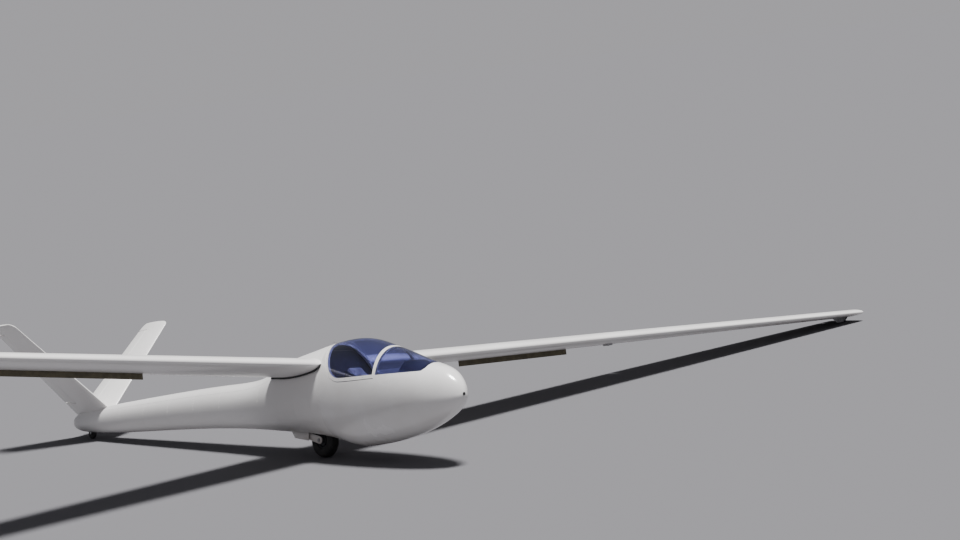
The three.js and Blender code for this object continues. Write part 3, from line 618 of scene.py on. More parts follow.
# radius and place along the tube, from its outside at the front
HOOK_TUBE = [(0.0168, 0), (0.0168, 0.074), (0.0002, 0.074), (0.0002, 0.052), (0.0128, 0.050), (0.0134, 0.002),
             (0.0150, -0.0012)]
CLAW = [(0.074, -0.0785), (0.0705, -0.082), (0.0685, -0.088), (0.0715, -0.094), (0.078, -0.0965),
        (0.090, -0.093), (0.108, -0.090)]
CLAW_HALF_DEPTH, CLAW_HALF_WIDTH = 0.0022, 0.0035
AFT = (0, 1, 0)
bare_metal = finish("weathered_steel", (0.42, 0.42, 0.44), 0.35, Metallic=1.0)
mottled(bare_metal, ((0.25, 0.24, 0.24), (0.5, 0.5, 0.52)), 60, (0.28, 0.55))
grained(bare_metal, 400, 0.0001)


def spun(name, profile, centre, axis, steps=32, endless=False):
    """A piece turned about an axis, from a profile of [radius, place along the axis]."""
    axis = np.array(axis, float) / np.linalg.norm(axis)
    side = np.cross(axis, (0.0, 0.0, 1.0) if abs(axis[2]) < 0.9 else (1.0, 0.0, 0.0))
    side /= np.linalg.norm(side)
    spoke = spokes(np.linspace(0, 2 * math.pi, steps, endpoint=False), side, np.cross(axis, side))
    rings = [np.array(centre) + along * axis + radius * spoke for radius, along in profile]
    return lofted(name, rings, endless)


bore = [(HOOK_RADIUS, 0), (HOOK_RADIUS, BORE_LENGTH)]
carved(pod, spun("hook_bore", bore, (0, BORE_START, HOOK_LEVEL), AFT, 40))
crisp(pod)
hook_tube = spun("tow_hook_tube", HOOK_TUBE, (0, HOOK_AT, HOOK_LEVEL), AFT, 40, endless=True)
fastened(crisp(hook_tube), "airframe", "bare_metal", bare_metal, "tow_hook")
claw_outline = [(y, z + CLAW_HALF_DEPTH) for y, z in CLAW]
claw_outline += [(y + 0.001, z - CLAW_HALF_DEPTH) for y, z in CLAW[::-1]]
claw = side_slab(claw_outline, -CLAW_HALF_WIDTH, CLAW_HALF_WIDTH)
fastened(crisp(claw), "airframe", "bare_metal", bare_metal)

# Each wing is a riveted aluminium box on a light taper, laminar in section. The skins meet along the spar and
# at every few ribs. The flap and aileron bays are open behind, and a slot in the underside houses the brake.
# span station, chord in millimetres, thickness ratio, incidence in degrees
WING = np.array([[100, 862, 0.174, 4.6], [4200, 715, 0.163, 4.2], [7540, 500, 0.155, 3.4]])
QUARTER_CHORD = 1.974
WING_LEVEL = 0.285
ROOT_X = 0.240
WING_START = 0.1
DIHEDRAL = math.radians(2.8)
TIP_START, TIP_LENGTH = 7.540, 0.081
TIP_CHORD, TIP_RATIO = 0.275, 0.07
THICKEST = 0.4
FRONT_TERMS = (0.2969, -0.24685, 0.17527, -0.26684)
REAR_TERMS = (0.002, 0.315, -0.2333, -0.0324)
FLAP = ("flap", 0.330, 4.193)
AILERON = ("aileron", 4.207, 7.400)
CLEARANCE, END_CLEARANCE = 0.006, 0.010
WING_RIBS = [0.62, 1.18, 1.75, 2.36, 2.97, 3.58, 4.20, 4.81, 5.42, 6.03, 6.64, 7.25]
SPAR_SHARE, REAR_SPAR_SHARE = 0.38, 0.755
SKIN_SEAM, SEAM_SHARE = 0.0009, 0.004


def half_thickness(share, ratio):
    front = sum(term * share ** power for term, power in zip(FRONT_TERMS, (0.5, 1, 2, 3)))
    rear = sum(term * (1 - share) ** power for power, term in enumerate(REAR_TERMS))
    return ratio / 0.2 * np.where(share < THICKEST, front, rear)


def camber(share, lift):
    inner = np.clip(share, 1e-9, 1 - 1e-9)
    return -lift / (4 * math.pi) * ((1 - inner) * np.log(1 - inner) + inner * np.log(inner))


def tip_round(place, start, length):
    """How much of its size a rounded tip still has at a place, 1 to 0."""
    return np.sqrt(np.clip(1 - (np.clip(place - start, 0, None) / length) ** 2, 0, 1))


def wing_plan(x):
    """Chord, thickness ratio and incidence at a span station, rounded off at the tip."""
    chord, ratio, incidence = (np.interp(x * 1000, WING[:, 0], WING[:, k]) for k in (1, 2, 3))
    chord = chord / 1000
    left = tip_round(x, TIP_START, TIP_LENGTH)
    beyond = x > TIP_START
    chord = np.where(beyond, TIP_CHORD + (chord - TIP_CHORD) * left, chord)
    ratio = np.where(beyond, TIP_RATIO + (ratio - TIP_RATIO) * left, ratio)
    return chord, ratio, np.radians(incidence)


def wing_point(x, share, height):
    """A point of the wing from its span station, share of the chord and height as a share of the chord."""
    chord, _, tilt = wing_plan(x)
    y = QUARTER_CHORD - 0.25 * chord + (share * np.cos(tilt) + height * np.sin(tilt)) * chord
    z = (WING_LEVEL + (x - ROOT_X) * math.tan(DIHEDRAL)
         + (height * np.cos(tilt) - share * np.sin(tilt)) * chord)
    return np.stack(np.broadcast_arrays(x, y, z), -1)


WING_FORM = {"plan": wing_plan, "point": wing_point, "lift": 0.4, "hinge": 0.78}


def skin_point(form, at, share, side):
    """A point on a wing or tail surface's upper skin, side 1, or its lower skin, side -1."""
    height = camber(share, form["lift"]) + side * half_thickness(share, form["plan"](at)[1])
    return form["point"](at, share, height)


def skinned(name, form, stations, ring_depth, seams, count=44):
    """A whole wing or tail surface, with seams pressed into its skin along its ribs and spars."""
    share = (1 - np.cos(np.linspace(0, math.pi, count))) / 2
    share, depth = with_lines(share[1:-1], seams, SEAM_SHARE, (0, 1))
    side = np.concatenate([np.ones(len(share)), -np.ones(len(share) - 1)])
    share, depth = (np.concatenate([each[::-1], each[1:]]) for each in (share, depth))
    at = stations[:, None]
    chord, ratio = form["plan"](at)[:2]
    groove = np.maximum(ring_depth[:, None], depth) * SKIN_SEAM / chord
    height = camber(share, form["lift"]) + side * np.maximum(half_thickness(share, ratio) - groove, 0)
    return lofted(name, form["point"](at, share, height))


def hinge_nose(form, at, start, end, steps, grow):
    """The round nose of a hinged surface about its hinge line, from one angle to another in degrees."""
    chord, ratio = form["plan"](at)[:2]
    hinge = form["hinge"]
    radius = half_thickness(hinge, ratio) + grow / chord
    angle = np.radians(np.linspace(start, end, steps))
    level = camber(hinge, form["lift"])
    return form["point"](at, hinge + radius * np.cos(angle), level + radius * np.sin(angle))


def opened(piece, form, inner, outer):
    """Cuts the bay of a hinged surface out of a wing or tail surface, with a round cove for its nose."""
    ends = (inner - END_CLEARANCE, outer + END_CLEARANCE)
    corners = [(form["hinge"], -0.3), (1.2, -0.3), (1.2, 0.3), (form["hinge"], 0.3)]
    carved(piece, lofted("bay", [[form["point"](at, *corner) for corner in corners] for at in ends]))
    carved(piece, lofted("cove", [hinge_nose(form, at, 0, 352.5, 48, CLEARANCE) for at in ends]))


def on_both_sides(piece, name, body, slot, material, node=None):
    """Fastens a port piece as it is, and its mirror image to starboard. A body or node ends in its side."""
    twin = in_scene(f"{name}_starboard", piece.data.copy())
    twin.data.transform(AIRFRAME @ Matrix.Diagonal((-1, 1, 1, 1)) @ TO_AIRFRAME)
    twin.data.flip_normals()
    piece.name = f"{name}_port"
    for each, side in ((piece, "port"), (twin, "starboard")):
        home = body if body in ("airframe", "canopy") else f"{body}_{side}"
        nodes = [f"{node}_{side}"] if node else []
        fastened(each, home, slot, material, *nodes)


wing_ends = (WING_START, TIP_START - GAP)
wing_stations, rib_depth = with_lines(np.linspace(*wing_ends, 76)[1:-1], WING_RIBS, SEAM_HALF, wing_ends)
wing = skinned("wing_skin", WING_FORM, wing_stations, rib_depth, [SPAR_SHARE, REAR_SPAR_SHARE])
carved(wing, hull_part("hull_outside", 1.2, 3.1, inset=-GAP))
for _, inner, outer in (FLAP, AILERON):
    opened(wing, WING_FORM, inner, outer)

BRAKE_INNER, BRAKE_OUTER, BRAKE_SHARE = 1.850, 3.290, 0.62
BRAKE_PLATE, BRAKE_OUT, BRAKE_INSIDE, BRAKE_ROOF = 0.012, 0.055, 0.020, 0.014


def brake_section(x, half_width, low, high):
    """A section of the dive brake, half its width in metres and its two heights as shares of the chord."""
    reach = half_width / wing_plan(x)[0]
    return [wing_point(x, BRAKE_SHARE + side * reach, height)
            for side, height in ((-1, low), (1, low), (1, high), (-1, high))]


slot_rings = []
for x in (BRAKE_INNER - CLEARANCE, BRAKE_OUTER + CLEARANCE):
    chord, ratio, _ = wing_plan(x)
    top = camber(BRAKE_SHARE, WING_FORM["lift"]) + half_thickness(BRAKE_SHARE, ratio)
    slot_rings.append(brake_section(x, BRAKE_PLATE / 2 + CLEARANCE, -0.3, top - BRAKE_ROOF / chord))
carved(wing, lofted("brake_slot", slot_rings))
on_both_sides(crisp(wing), "wing_skin", "airframe", "paint", paint, "wing")

tip_turn = np.radians([*np.linspace(0, 80, 17), 84, 87, 88.6, 89.6])
tip = skinned("wing_tip_cap", WING_FORM, TIP_START + TIP_LENGTH * np.sin(tip_turn), 0 * tip_turn, [])
on_both_sides(crisp(tip, 40), "wing_tip_cap", "airframe", "paint", paint, "wing_tip")

FLUSH_RADIUS, FLUSH_HEIGHT = 0.0027, 0.0005
RIB_ROW, RIB_PITCH, SPAR_ROW, SPAR_PITCH = 0.009, 0.05, 0.012, 0.045
for side, name in ((1, "upper"), (-1, "lower")):
    spots = [(rib + row, share) for rib in WING_RIBS for row in (-RIB_ROW, RIB_ROW)
             for share in np.arange(0.06, 0.745, RIB_PITCH) if abs(share - SPAR_SHARE) > 0.02]
    spots += [(x, SPAR_SHARE + row) for x in np.arange(0.42, 7.5, SPAR_PITCH)
              for row in (-SPAR_ROW, SPAR_ROW)]
    if name == "lower":
        spots = [(x, share) for x, share in spots
                 if not (BRAKE_INNER - 0.02 < x < BRAKE_OUTER + 0.02 and abs(share - BRAKE_SHARE) < 0.03)]
    heads = studs("heads", lambda x, share: skin_point(WING_FORM, x, share, side), *np.array(spots).T,
                  FLUSH_RADIUS, FLUSH_HEIGHT, side)
    on_both_sides(heads, f"wing_rivets_{name}", "airframe", "paint", paint)

# A strip of thin sheet laid round the wing's root closes the joint with the fuselage. Under the wing, a bead
# of black rubber seals the corner between the two, made wide and dark as painted shadow in the crease.
STRIP_WIDTH, STRIP_THICKNESS = 0.020, 0.0016
SEAL_AND_SHADE_SIZE, SEAL_AND_SHADE_END = 0.016, 0.985
rubber_black = grained(finish("moulded_rubber", (0.025, 0.025, 0.027), 0.7), 600, 0.0002)
mottled(rubber_black, ((0.018, 0.018, 0.02), (0.035, 0.035, 0.037)), 60, (0.6, 0.8))


def root_section(x, grow):
    """The wing's section at x, grown evenly outwards."""
    share = (1 - np.cos(np.linspace(0.02, math.pi, 40))) / 2
    ring = np.concatenate([skin_point(WING_FORM, x, share[::-1], 1), skin_point(WING_FORM, x, share, -1)])
    along = np.roll(ring, -1, 0) - np.roll(ring, 1, 0)
    out = np.stack([0 * along[:, 0], -along[:, 2], along[:, 1]], -1)
    out /= np.linalg.norm(out, axis=1)[:, None]
    return ring + grow * out * np.sign(np.sum((ring - ring.mean(0)) * out))


def round_root(name, width, gap, rise):
    """What lies within width of the wing's root, and from gap to rise above the fuselage's skin."""
    piece = lofted(name, [root_section(x, width) for x in (0.10, 0.36)])
    carved(piece, hull_part("outer", 1.6, 3.0, inset=-rise), "INTERSECT")
    carved(piece, hull_part("inner", 1.5, 3.1, inset=-gap))
    return carved(piece, lofted("core", [root_section(x, -0.001) for x in (0.05, 0.40)]))


strip = round_root("root_strip", STRIP_WIDTH, GAP / 2, STRIP_THICKNESS)
on_both_sides(crisp(strip), "root_strip", "airframe", "paint", paint)
# the bead under the wing's root: partly a rubber seal, partly painted shadow in the crease
seal_and_shade_bead = round_root("root_seal_and_shade_bead", SEAL_AND_SHADE_SIZE, GAP, SEAL_AND_SHADE_SIZE)
chord_line = [tuple(wing_point(ROOT_X, share, 0.0)[1:]) for share in (-0.2, 0.0, SEAL_AND_SHADE_END)]
above_and_behind = [*chord_line, (chord_line[-1][0], -0.3), (3.2, -0.3), (3.2, 0.8), (1.4, 0.8)]
carved(seal_and_shade_bead, side_slab(above_and_behind, 0.05, 0.45))
on_both_sides(crisp(seal_and_shade_bead), "root_seal_and_shade_bead", "airframe", "tyre", rubber_black)


# The flap and the aileron are thin sheet over ribs, smooth outside. A round nose on each turns in the cove
# that the wing leaves for it, so that the gap stays the same as it moves.
def hinged(name, form, stations):
    """A hinged surface: the skin aft of its hinge, closed by its round nose."""
    shares = form["hinge"] + (1 - form["hinge"]) * np.linspace(1, 0.05, 14)
    rings = []
    for at in stations:
        top, bottom = skin_point(form, at, shares, 1), skin_point(form, at, shares[::-1], -1)
        rings.append(np.concatenate([top, hinge_nose(form, at, 90, 270, 16, 0), bottom]))
    return lofted(name, rings)


for name, inner, outer in (FLAP, AILERON):
    surface = hinged(f"{name}_skin", WING_FORM, np.linspace(inner, outer, 40))
    on_both_sides(crisp(surface), f"{name}_skin", name, "paint", paint, name)

# The dive brakes are flat plates of thick sheet that hang out of the slots under the wings. They are left in
# dull olive primer.
brake_rings = []
for x in np.linspace(BRAKE_INNER, BRAKE_OUTER, 12):
    chord, ratio, _ = wing_plan(x)
    under = camber(BRAKE_SHARE, WING_FORM["lift"]) - half_thickness(BRAKE_SHARE, ratio)
    low, high = under - BRAKE_OUT / chord, under + BRAKE_INSIDE / chord
    brake_rings.append(brake_section(x, BRAKE_PLATE / 2, low, high))
brake = lofted("brake_plate", brake_rings)
on_both_sides(crisp(brake), "brake_plate", "dive_brake", "primer", primer, "dive_brake")

# The V tail is two small tapered surfaces of painted sheet at 45 degrees to the level, each with a fixed
# front part and a hinged rear part.
# distance out, chord in millimetres, leading edge, thickness ratio
TAIL = np.array([[-40, 700, 5712, 0.1], [1245, 468, 6010, 0.09]])
TAIL_START, TAIL_TIP, TAIL_TIP_LENGTH = -0.04, 1.245, 0.086
TAIL_TIP_CHORD, TAIL_TIP_RATIO = 0.305, 0.05
TAIL_SWEEP = 0.705
TAIL_ANGLE = math.radians(45)
TAIL_ROOT = (0.020, 0.055)
TAIL_RIBS, TAIL_SPAR = [0.45, 0.83], 0.3
RUDDERVATOR = (0.170, 1.200)


def tail_plan(out):
    """Chord, thickness ratio and leading edge at a distance out along the tail, rounded off at the tip."""
    chord, lead, ratio = (np.interp(out * 1000, TAIL[:, 0], TAIL[:, k]) for k in (1, 2, 3))
    chord, lead = chord / 1000, lead / 1000
    left = tip_round(out, TAIL_TIP, TAIL_TIP_LENGTH)
    tip_chord = TAIL_TIP_CHORD + (chord - TAIL_TIP_CHORD) * left
    beyond = out > TAIL_TIP
    lead = np.where(beyond, lead + (chord - tip_chord) * TAIL_SWEEP, lead)
    ratio = np.where(beyond, TAIL_TIP_RATIO + (ratio - TAIL_TIP_RATIO) * left, ratio)
    return np.where(beyond, tip_chord, chord), ratio, lead


def tail_point(out, share, height):
    chord, _, lead = tail_plan(out)
    x = TAIL_ROOT[0] + out * math.cos(TAIL_ANGLE) - height * chord * math.sin(TAIL_ANGLE)
    z = TAIL_ROOT[1] + out * math.sin(TAIL_ANGLE) + height * chord * math.cos(TAIL_ANGLE)
    return np.stack(np.broadcast_arrays(x, lead + share * chord, z), -1)


TAIL_FORM = {"plan": tail_plan, "point": tail_point, "lift": 0.0, "hinge": 0.66}
tail_ends = (TAIL_START, TAIL_TIP)
tail_out, tail_depth = with_lines(np.linspace(*tail_ends, 22)[1:-1], TAIL_RIBS, SEAM_HALF, tail_ends)
tail_out = np.concatenate([tail_out, TAIL_TIP + TAIL_TIP_LENGTH * np.sin(tip_turn[1:])])
tail_depth = np.concatenate([tail_depth, 0 * tip_turn[1:]])
tail = skinned("stabiliser_skin", TAIL_FORM, tail_out, tail_depth, [TAIL_SPAR], 40)
carved(tail, hull_part("hull_aft", 5.2, 6.4515, inset=-GAP))
carved(tail, block((GAP / 2, 5.0, -0.5), (2.0, 7.0, 2.0)), "INTERSECT")
opened(tail, TAIL_FORM, *RUDDERVATOR)
on_both_sides(crisp(tail), "stabiliser_skin", "airframe", "paint", paint, "stabiliser")
ruddervator = hinged("ruddervator_skin", TAIL_FORM, np.linspace(*RUDDERVATOR, 16))
on_both_sides(crisp(ruddervator), "ruddervator_skin", "ruddervator", "paint", paint, "ruddervator")

# The windshield and the canopy are blown acrylic, 3.5 mm thick, in white frames of laminated glass fibre.
# Their strong blue tint is painted reflection of the sky, and it darkens the cockpit seen through them as
# painted shade. The windshield is fixed; the canopy swings up about the top of its aft edge.
GLASS, FRAME_DEPTH, FRAME_WIDTH, FRAME_FRONT = 0.0035, 0.024, 0.032, 0.014
# The blue tint paints in the sky's reflection, and the shade on what is seen through the glass.
acrylic = finish("acrylic", (0.40, 0.42, 0.70), 0.02, Transmission_Weight=1.0, IOR=1.45)


def headings(line):
    """The unit direction of a line at each of its points."""
    along = np.gradient(line, axis=0)
    return along / np.linalg.norm(along, axis=1)[:, None]


def beside(line, gap):
    """A line in side view, moved sideways by gap: down, where it runs aft."""
    along = headings(line)
    return line + gap * np.stack([along[:, 1], -along[:, 0]], -1)


def canopy_outline(inset, front_inset):
    """The canopy's outline in side view, drawn in by inset from its edge, and by another along its front."""
    line = beside(CANOPY_EDGE, -inset - CLEARANCE)
    start = CANOPY_START + CLEARANCE + front_inset
    first = (start, np.interp(start, line[:8, 0], line[:8, 1]))
    kept = [point for point in line if point[0] > start]
    return [first, *kept, (kept[-1][0], OPEN_SPACE), (start, OPEN_SPACE)]


def hull_shell(name, depth, outline):
    """What lies within depth of the cockpit's outer surface, and inside an outline in side view."""
    shell = hull_part(name, 0.30, 2.10, spacing=0.02)
    carved(shell, hull_part("inside", 0.28, 2.12, spacing=0.02, inset=depth))
    return carved(shell, side_slab(outline, *ACROSS), "INTERSECT")


foot = BOW[1] + GAP
bow = hull_shell("windshield_bow_frame", FRAME_DEPTH,
                 [(BOW[0], foot), (CANOPY_START, foot), (CANOPY_START, OPEN_SPACE), (BOW[0], OPEN_SPACE)])
fastened(crisp(bow), "airframe", "paint", paint, "windshield_bow")
shield = hull_shell("windshield_glass", GLASS, [
    *[(y + GAP, z + GAP) for y, z in WINDSHIELD_FRONT], (BOW[0] - GAP, foot), (BOW[0] - GAP, OPEN_SPACE),
    (WINDSHIELD_FRONT[0][0] + GAP, OPEN_SPACE)])
fastened(crisp(shield), "airframe", "acrylic", acrylic, "windshield")
canopy_frame = hull_shell("canopy_rim", FRAME_DEPTH, canopy_outline(0, 0))
carved(canopy_frame, side_slab(canopy_outline(FRAME_WIDTH, FRAME_FRONT), *ACROSS))
fastened(crisp(canopy_frame), "canopy", "paint", paint, "canopy_frame")
canopy_glass = hull_shell("canopy_bubble", GLASS, canopy_outline(FRAME_WIDTH + GAP, FRAME_FRONT + GAP))
fastened(crisp(canopy_glass), "canopy", "acrylic", acrylic, "canopy_glass")

# The canopy is screwed to its frame, and so is the windshield to the pod. Two small hinges hold the canopy
# at its aft edge, and a latch with a round knob locks it on each side.
SCREW_RADIUS, SCREW_HEIGHT, SCREW_PITCH = 0.0032, 0.0009, 0.085
BOW_MIDDLE = (BOW[0] + CANOPY_START) / 2
KNUCKLE_AT, KNUCKLE_HALF, KNUCKLE_RADIUS = 0.055, 0.016, 0.0036
LATCH = (1.02, 0.128)
STEM_OUT, STEM_IN, STEM_RADIUS, KNOB_IN = 0.012, -0.022, 0.004, -0.026
# radius and place along the stem
KNOB = [(0.0005, -0.012), (0.007, -0.011), (0.0115, -0.005), (0.0125, 0.0), (0.0115, 0.005), (0.007, 0.011),
        (0.0005, 0.012)]
ACROSS_AXIS = (1, 0, 0)


def screws_along(name, line, body):
    """Screw heads on both sides of the fuselage, along a line in side view."""
    line = np.array(line)
    run = run_along(line)
    where = np.arange(SCREW_PITCH / 2, run[-1], SCREW_PITCH)
    y, z = (np.interp(where, run, line[:, k]) for k in (0, 1))
    top, bottom, _, level = hull_at(y)
    rise = np.clip((z - level) / np.where(z > level, top - level, level - bottom), -1, 1)
    angle = np.arcsin(powered(rise, HULL_SQUARENESS / 2))
    kept = rise < 0.995
    heads = studs("heads", hull_point, y[kept], angle[kept], SCREW_RADIUS, SCREW_HEIGHT)
    on_both_sides(heads, name, body, "bare_metal", bare_metal)


screws_along("canopy_screws", canopy_outline(FRAME_WIDTH / 2, FRAME_FRONT / 2)[:-2], "canopy")
screws_along("bow_screws", [(BOW_MIDDLE, 0.16), (BOW_MIDDLE, 0.45)], "airframe")
screws_along("windshield_screws", [(0.43, 0.128), (BOW[0], 0.126)], "airframe")


def rod(name, start, end, radius, steps=20):
    """A round bar with slightly bevelled ends."""
    start, end = np.array(start, float), np.array(end, float)
    length = float(np.linalg.norm(end - start))
    edge = min(radius * 0.18, length / 4)
    profile = [(radius - edge, 0), (radius, edge), (radius, length - edge), (radius - edge, length)]
    return crisp(spun(name, profile, start, end - start, steps))


def cross_rod(name, start_x, end_x, place, radius, steps=20):
    """A round bar that lies across the airframe, at a place in side view."""
    return rod(name, (start_x, *place), (end_x, *place), radius, steps)


pin = TO_AIRFRAME @ Vector(joints["canopy_hinge"]["pos_m"])
for middle, name in ((-KNUCKLE_AT, "canopy_knuckle_starboard"), (KNUCKLE_AT, "canopy_knuckle_port")):
    knuckle = cross_rod(name, middle - KNUCKLE_HALF, middle + KNUCKLE_HALF, pin.yz, KNUCKLE_RADIUS)
    fastened(knuckle, "canopy", "bare_metal", bare_metal)

black_plastic = grained(finish("black_plastic", (0.02, 0.02, 0.022), 0.45), 700, 0.0001)
mottled(black_plastic, ((0.014, 0.014, 0.016), (0.03, 0.03, 0.032)), 90, (0.35, 0.6))
red_knob = finish("red_plastic", (0.45, 0.03, 0.02), 0.35)
mottled(red_knob, ((0.36, 0.02, 0.015), (0.5, 0.04, 0.03)), 120, (0.3, 0.45))
wall = float(hull_point(LATCH[0], math.radians(24))[0]) - FRAME_DEPTH
stem = cross_rod("stem", wall + STEM_OUT, wall + STEM_IN, LATCH, STEM_RADIUS)
on_both_sides(stem, "latch_stem", "canopy", "bare_metal", bare_metal)
grip = spun("grip", KNOB, (wall + KNOB_IN, *LATCH), ACROSS_AXIS, 28)
on_both_sides(crisp(grip, 60), "latch_knob", "canopy", "cockpit_trim", red_knob)

# The main wheel turns in a trailing fork of two white arms on a cross tube. The rim is cast light alloy,
# coloured near black, in two halves bolted together. The tyre is ribbed round its tread.
TYRE = {"radius": 0.165, "half": 0.052, "rim": 0.078}
TREAD_GROOVES = (-0.027, -0.0135, 0.0, 0.0135, 0.027)
GROOVE_DEPTH, GROOVE_WIDTH = 0.0035, 0.0026
# radius and place along the axle, from the hub out to the edge, on one side
RIM = [(0.0118, 0.041), (0.021, 0.041), (0.0235, 0.038), (0.0260, 0.018), (0.030, 0.0155), (0.058, 0.0135),
       (0.063, 0.016), (0.0665, 0.030), (0.0705, 0.0345), (0.0755, 0.037), (0.0776, 0.0362)]
DRUM = [(0.026, -0.034), (0.050, -0.034), (0.052, -0.032), (0.052, -0.0165), (0.026, -0.0165)]
BOLT_RING, BOLT_RADIUS, BOLT_HEIGHT, BOLT_FACE = 0.045, 0.0055, 0.005, 0.0145
rubber = finish("tyre_rubber", (0.018, 0.017, 0.018), 0.8)
mottled(rubber, ((0.012, 0.012, 0.013), (0.036, 0.033, 0.032)), 22, (0.65, 0.95))
grained(rubber, 500, 0.0003)
# a near-black finish for the two rims and the brake drum
near_black_alloy = finish("near_black_alloy", (0.06, 0.06, 0.065), 0.55, Metallic=0.6)
mottled(near_black_alloy, ((0.04, 0.04, 0.044), (0.09, 0.09, 0.095)), 70, (0.45, 0.7))


def tyre_outline(radius, half, rim, grooves, count=150):
    """Half-sections of a tyre, bead to bead over the tread, as [radius, place along the axle]."""
    wall = radius - rim
    corners = np.array([[rim, 0.70], [rim + wall * 0.06, 0.88], [rim + wall * 0.2, 0.985],
                        [rim + wall * 0.44, 1.0], [rim + wall * 0.66, 0.965], [rim + wall * 0.83, 0.85],
                        [rim + wall * 0.93, 0.64], [rim + wall * 0.98, 0.35], [radius, 0.0]])
    whole = np.concatenate([corners, (corners * [1, -1])[-2::-1]]) * [1, half]
    outline = smooth_curve(run_along(whole), whole, [0.3, 1], [-0.3, 1], count)
    for groove in grooves:
        near = np.abs(outline[:, 1] - groove) < GROOVE_WIDTH
        outline[near, 0] -= GROOVE_DEPTH
    ring = np.abs(np.abs(outline[:, 1]) / half - 0.995) < 0.012
    outline[ring, 1] *= 1.015
    return outline


def both_halves(profile):
    """A wheel's whole profile, from that of its one half."""
    return profile + [(radius, -along) for radius, along in profile[::-1]]


tread = tyre_outline(**TYRE, grooves=TREAD_GROOVES)
main_tyre = spun("main_tyre_ribbed", tread, MAIN_HUB, ACROSS_AXIS, 112, endless=True)
fastened(crisp(main_tyre, 50), "main_wheel", "tyre", rubber, "main_tyre")
main_rim = spun("main_rim_cast", both_halves(RIM), MAIN_HUB, ACROSS_AXIS, 72, endless=True)
fastened(crisp(main_rim, 35), "main_wheel", "bare_metal", near_black_alloy, "main_rim")
hexagon = spokes(HEX_TURN, np.array([0, 1, 0]), np.array([0, 0, 1]))
bolt_levels = ((BOLT_FACE - 0.002, BOLT_RADIUS), (BOLT_FACE + BOLT_HEIGHT * 0.8, BOLT_RADIUS),
               (BOLT_FACE + BOLT_HEIGHT, BOLT_RADIUS * 0.86))
bolts = [[np.array(MAIN_HUB) + BOLT_RING * place + (side * out, 0, 0) + reach * hexagon
          for out, reach in bolt_levels] for place in hexagon for side in (-1, 1)]
fastened(crisp(six_sided("rim_bolts", bolts)), "main_wheel", "bare_metal", bare_metal)
drum = spun("brake_drum", DRUM, MAIN_HUB, ACROSS_AXIS, 56, endless=True)
fastened(crisp(drum), "main_wheel", "bare_metal", near_black_alloy)

WHEEL_AT = tuple(MAIN_HUB.yz)
FORK_PIVOT = (2.410, -0.318)
# inner and outer face, and the radius of the ends at the axle and at the pivot
ARM = (0.060, 0.070, 0.036, 0.0252)
ARM_RIB = (0.0695, 0.0722, 0.024, 0.0152)
BOSS_INNER, BOSS_OUTER = 0.057, 0.076
# place in side view, radius and steps of the bosses at the two ends of an arm
BOSSES = [(WHEEL_AT, 0.019, 36), (FORK_PIVOT, 0.018, 32)]
GUSSET = [(2.279, -0.375), (2.279, -0.325), (2.312, -0.334)]
GUSSET_INNER, GUSSET_OUTER = 0.050, 0.054
PIVOT_HALF, PIVOT_RADIUS = 0.084, 0.014
CROSS_PLATE_LOW, CROSS_PLATE_HIGH = (-0.070, 2.268, -0.380), (0.070, 2.280, -0.320)
AXLE_HALF, AXLE_RADIUS = 0.078, 0.0109
NUT_RADIUS, NUT_INNER, NUT_OUTER = 0.0155, 0.0762, 0.0845
# inner end, outer end, radius and steps of the washer and the spacer on each side
COLLARS = [(0.0745, 0.0765, 0.0175, 32), (0.0405, 0.0572, 0.0145, 28)]


def link_outline(at, radius, to, end_radius, steps=14):
    """The outline of a bar with round ends, in side view."""
    at, to = np.array(at), np.array(to)
    along = to - at
    heading = math.atan2(along[1], along[0])
    lean = math.acos((radius - end_radius) / np.linalg.norm(along))
    ends = [(at, radius, np.linspace(lean, 2 * math.pi - lean, steps)),
            (to, end_radius, np.linspace(-lean, lean, steps))]
    return [tuple(middle + reach * np.array([math.cos(heading + turn), math.sin(heading + turn)]))
            for middle, reach, turns in ends for turn in turns]


def bevelled(piece, width, steps=2):
    edge = piece.modifiers.new("edge", "BEVEL")
    edge.width = width
    edge.segments = steps
    edge.angle_limit = math.radians(40)
    settled(piece)
    return crisp(piece, 35)


def on_side(side, near, far):
    """Two places across the airframe, to port for side 1 and to starboard for side -1, the lower first."""
    return sorted((side * near, side * far))


def merged(name, parts):
    """One piece of several, each part keeping its own finish."""
    form = bmesh.new()
    finishes = []
    for part in parts:
        start = len(form.faces)
        form.from_mesh(part.data)
        form.faces.ensure_lookup_table()
        own = part.data.materials[0] if part.data.materials else None
        if own not in finishes:
            finishes.append(own)
        for face in form.faces[start:]:
            face.material_index = finishes.index(own)
        bpy.data.objects.remove(part)
    mesh = bpy.data.meshes.new(name)
    form.to_mesh(mesh)
    form.free()
    for own in finishes:
        if own:
            mesh.materials.append(own)
    return in_scene(name, mesh)


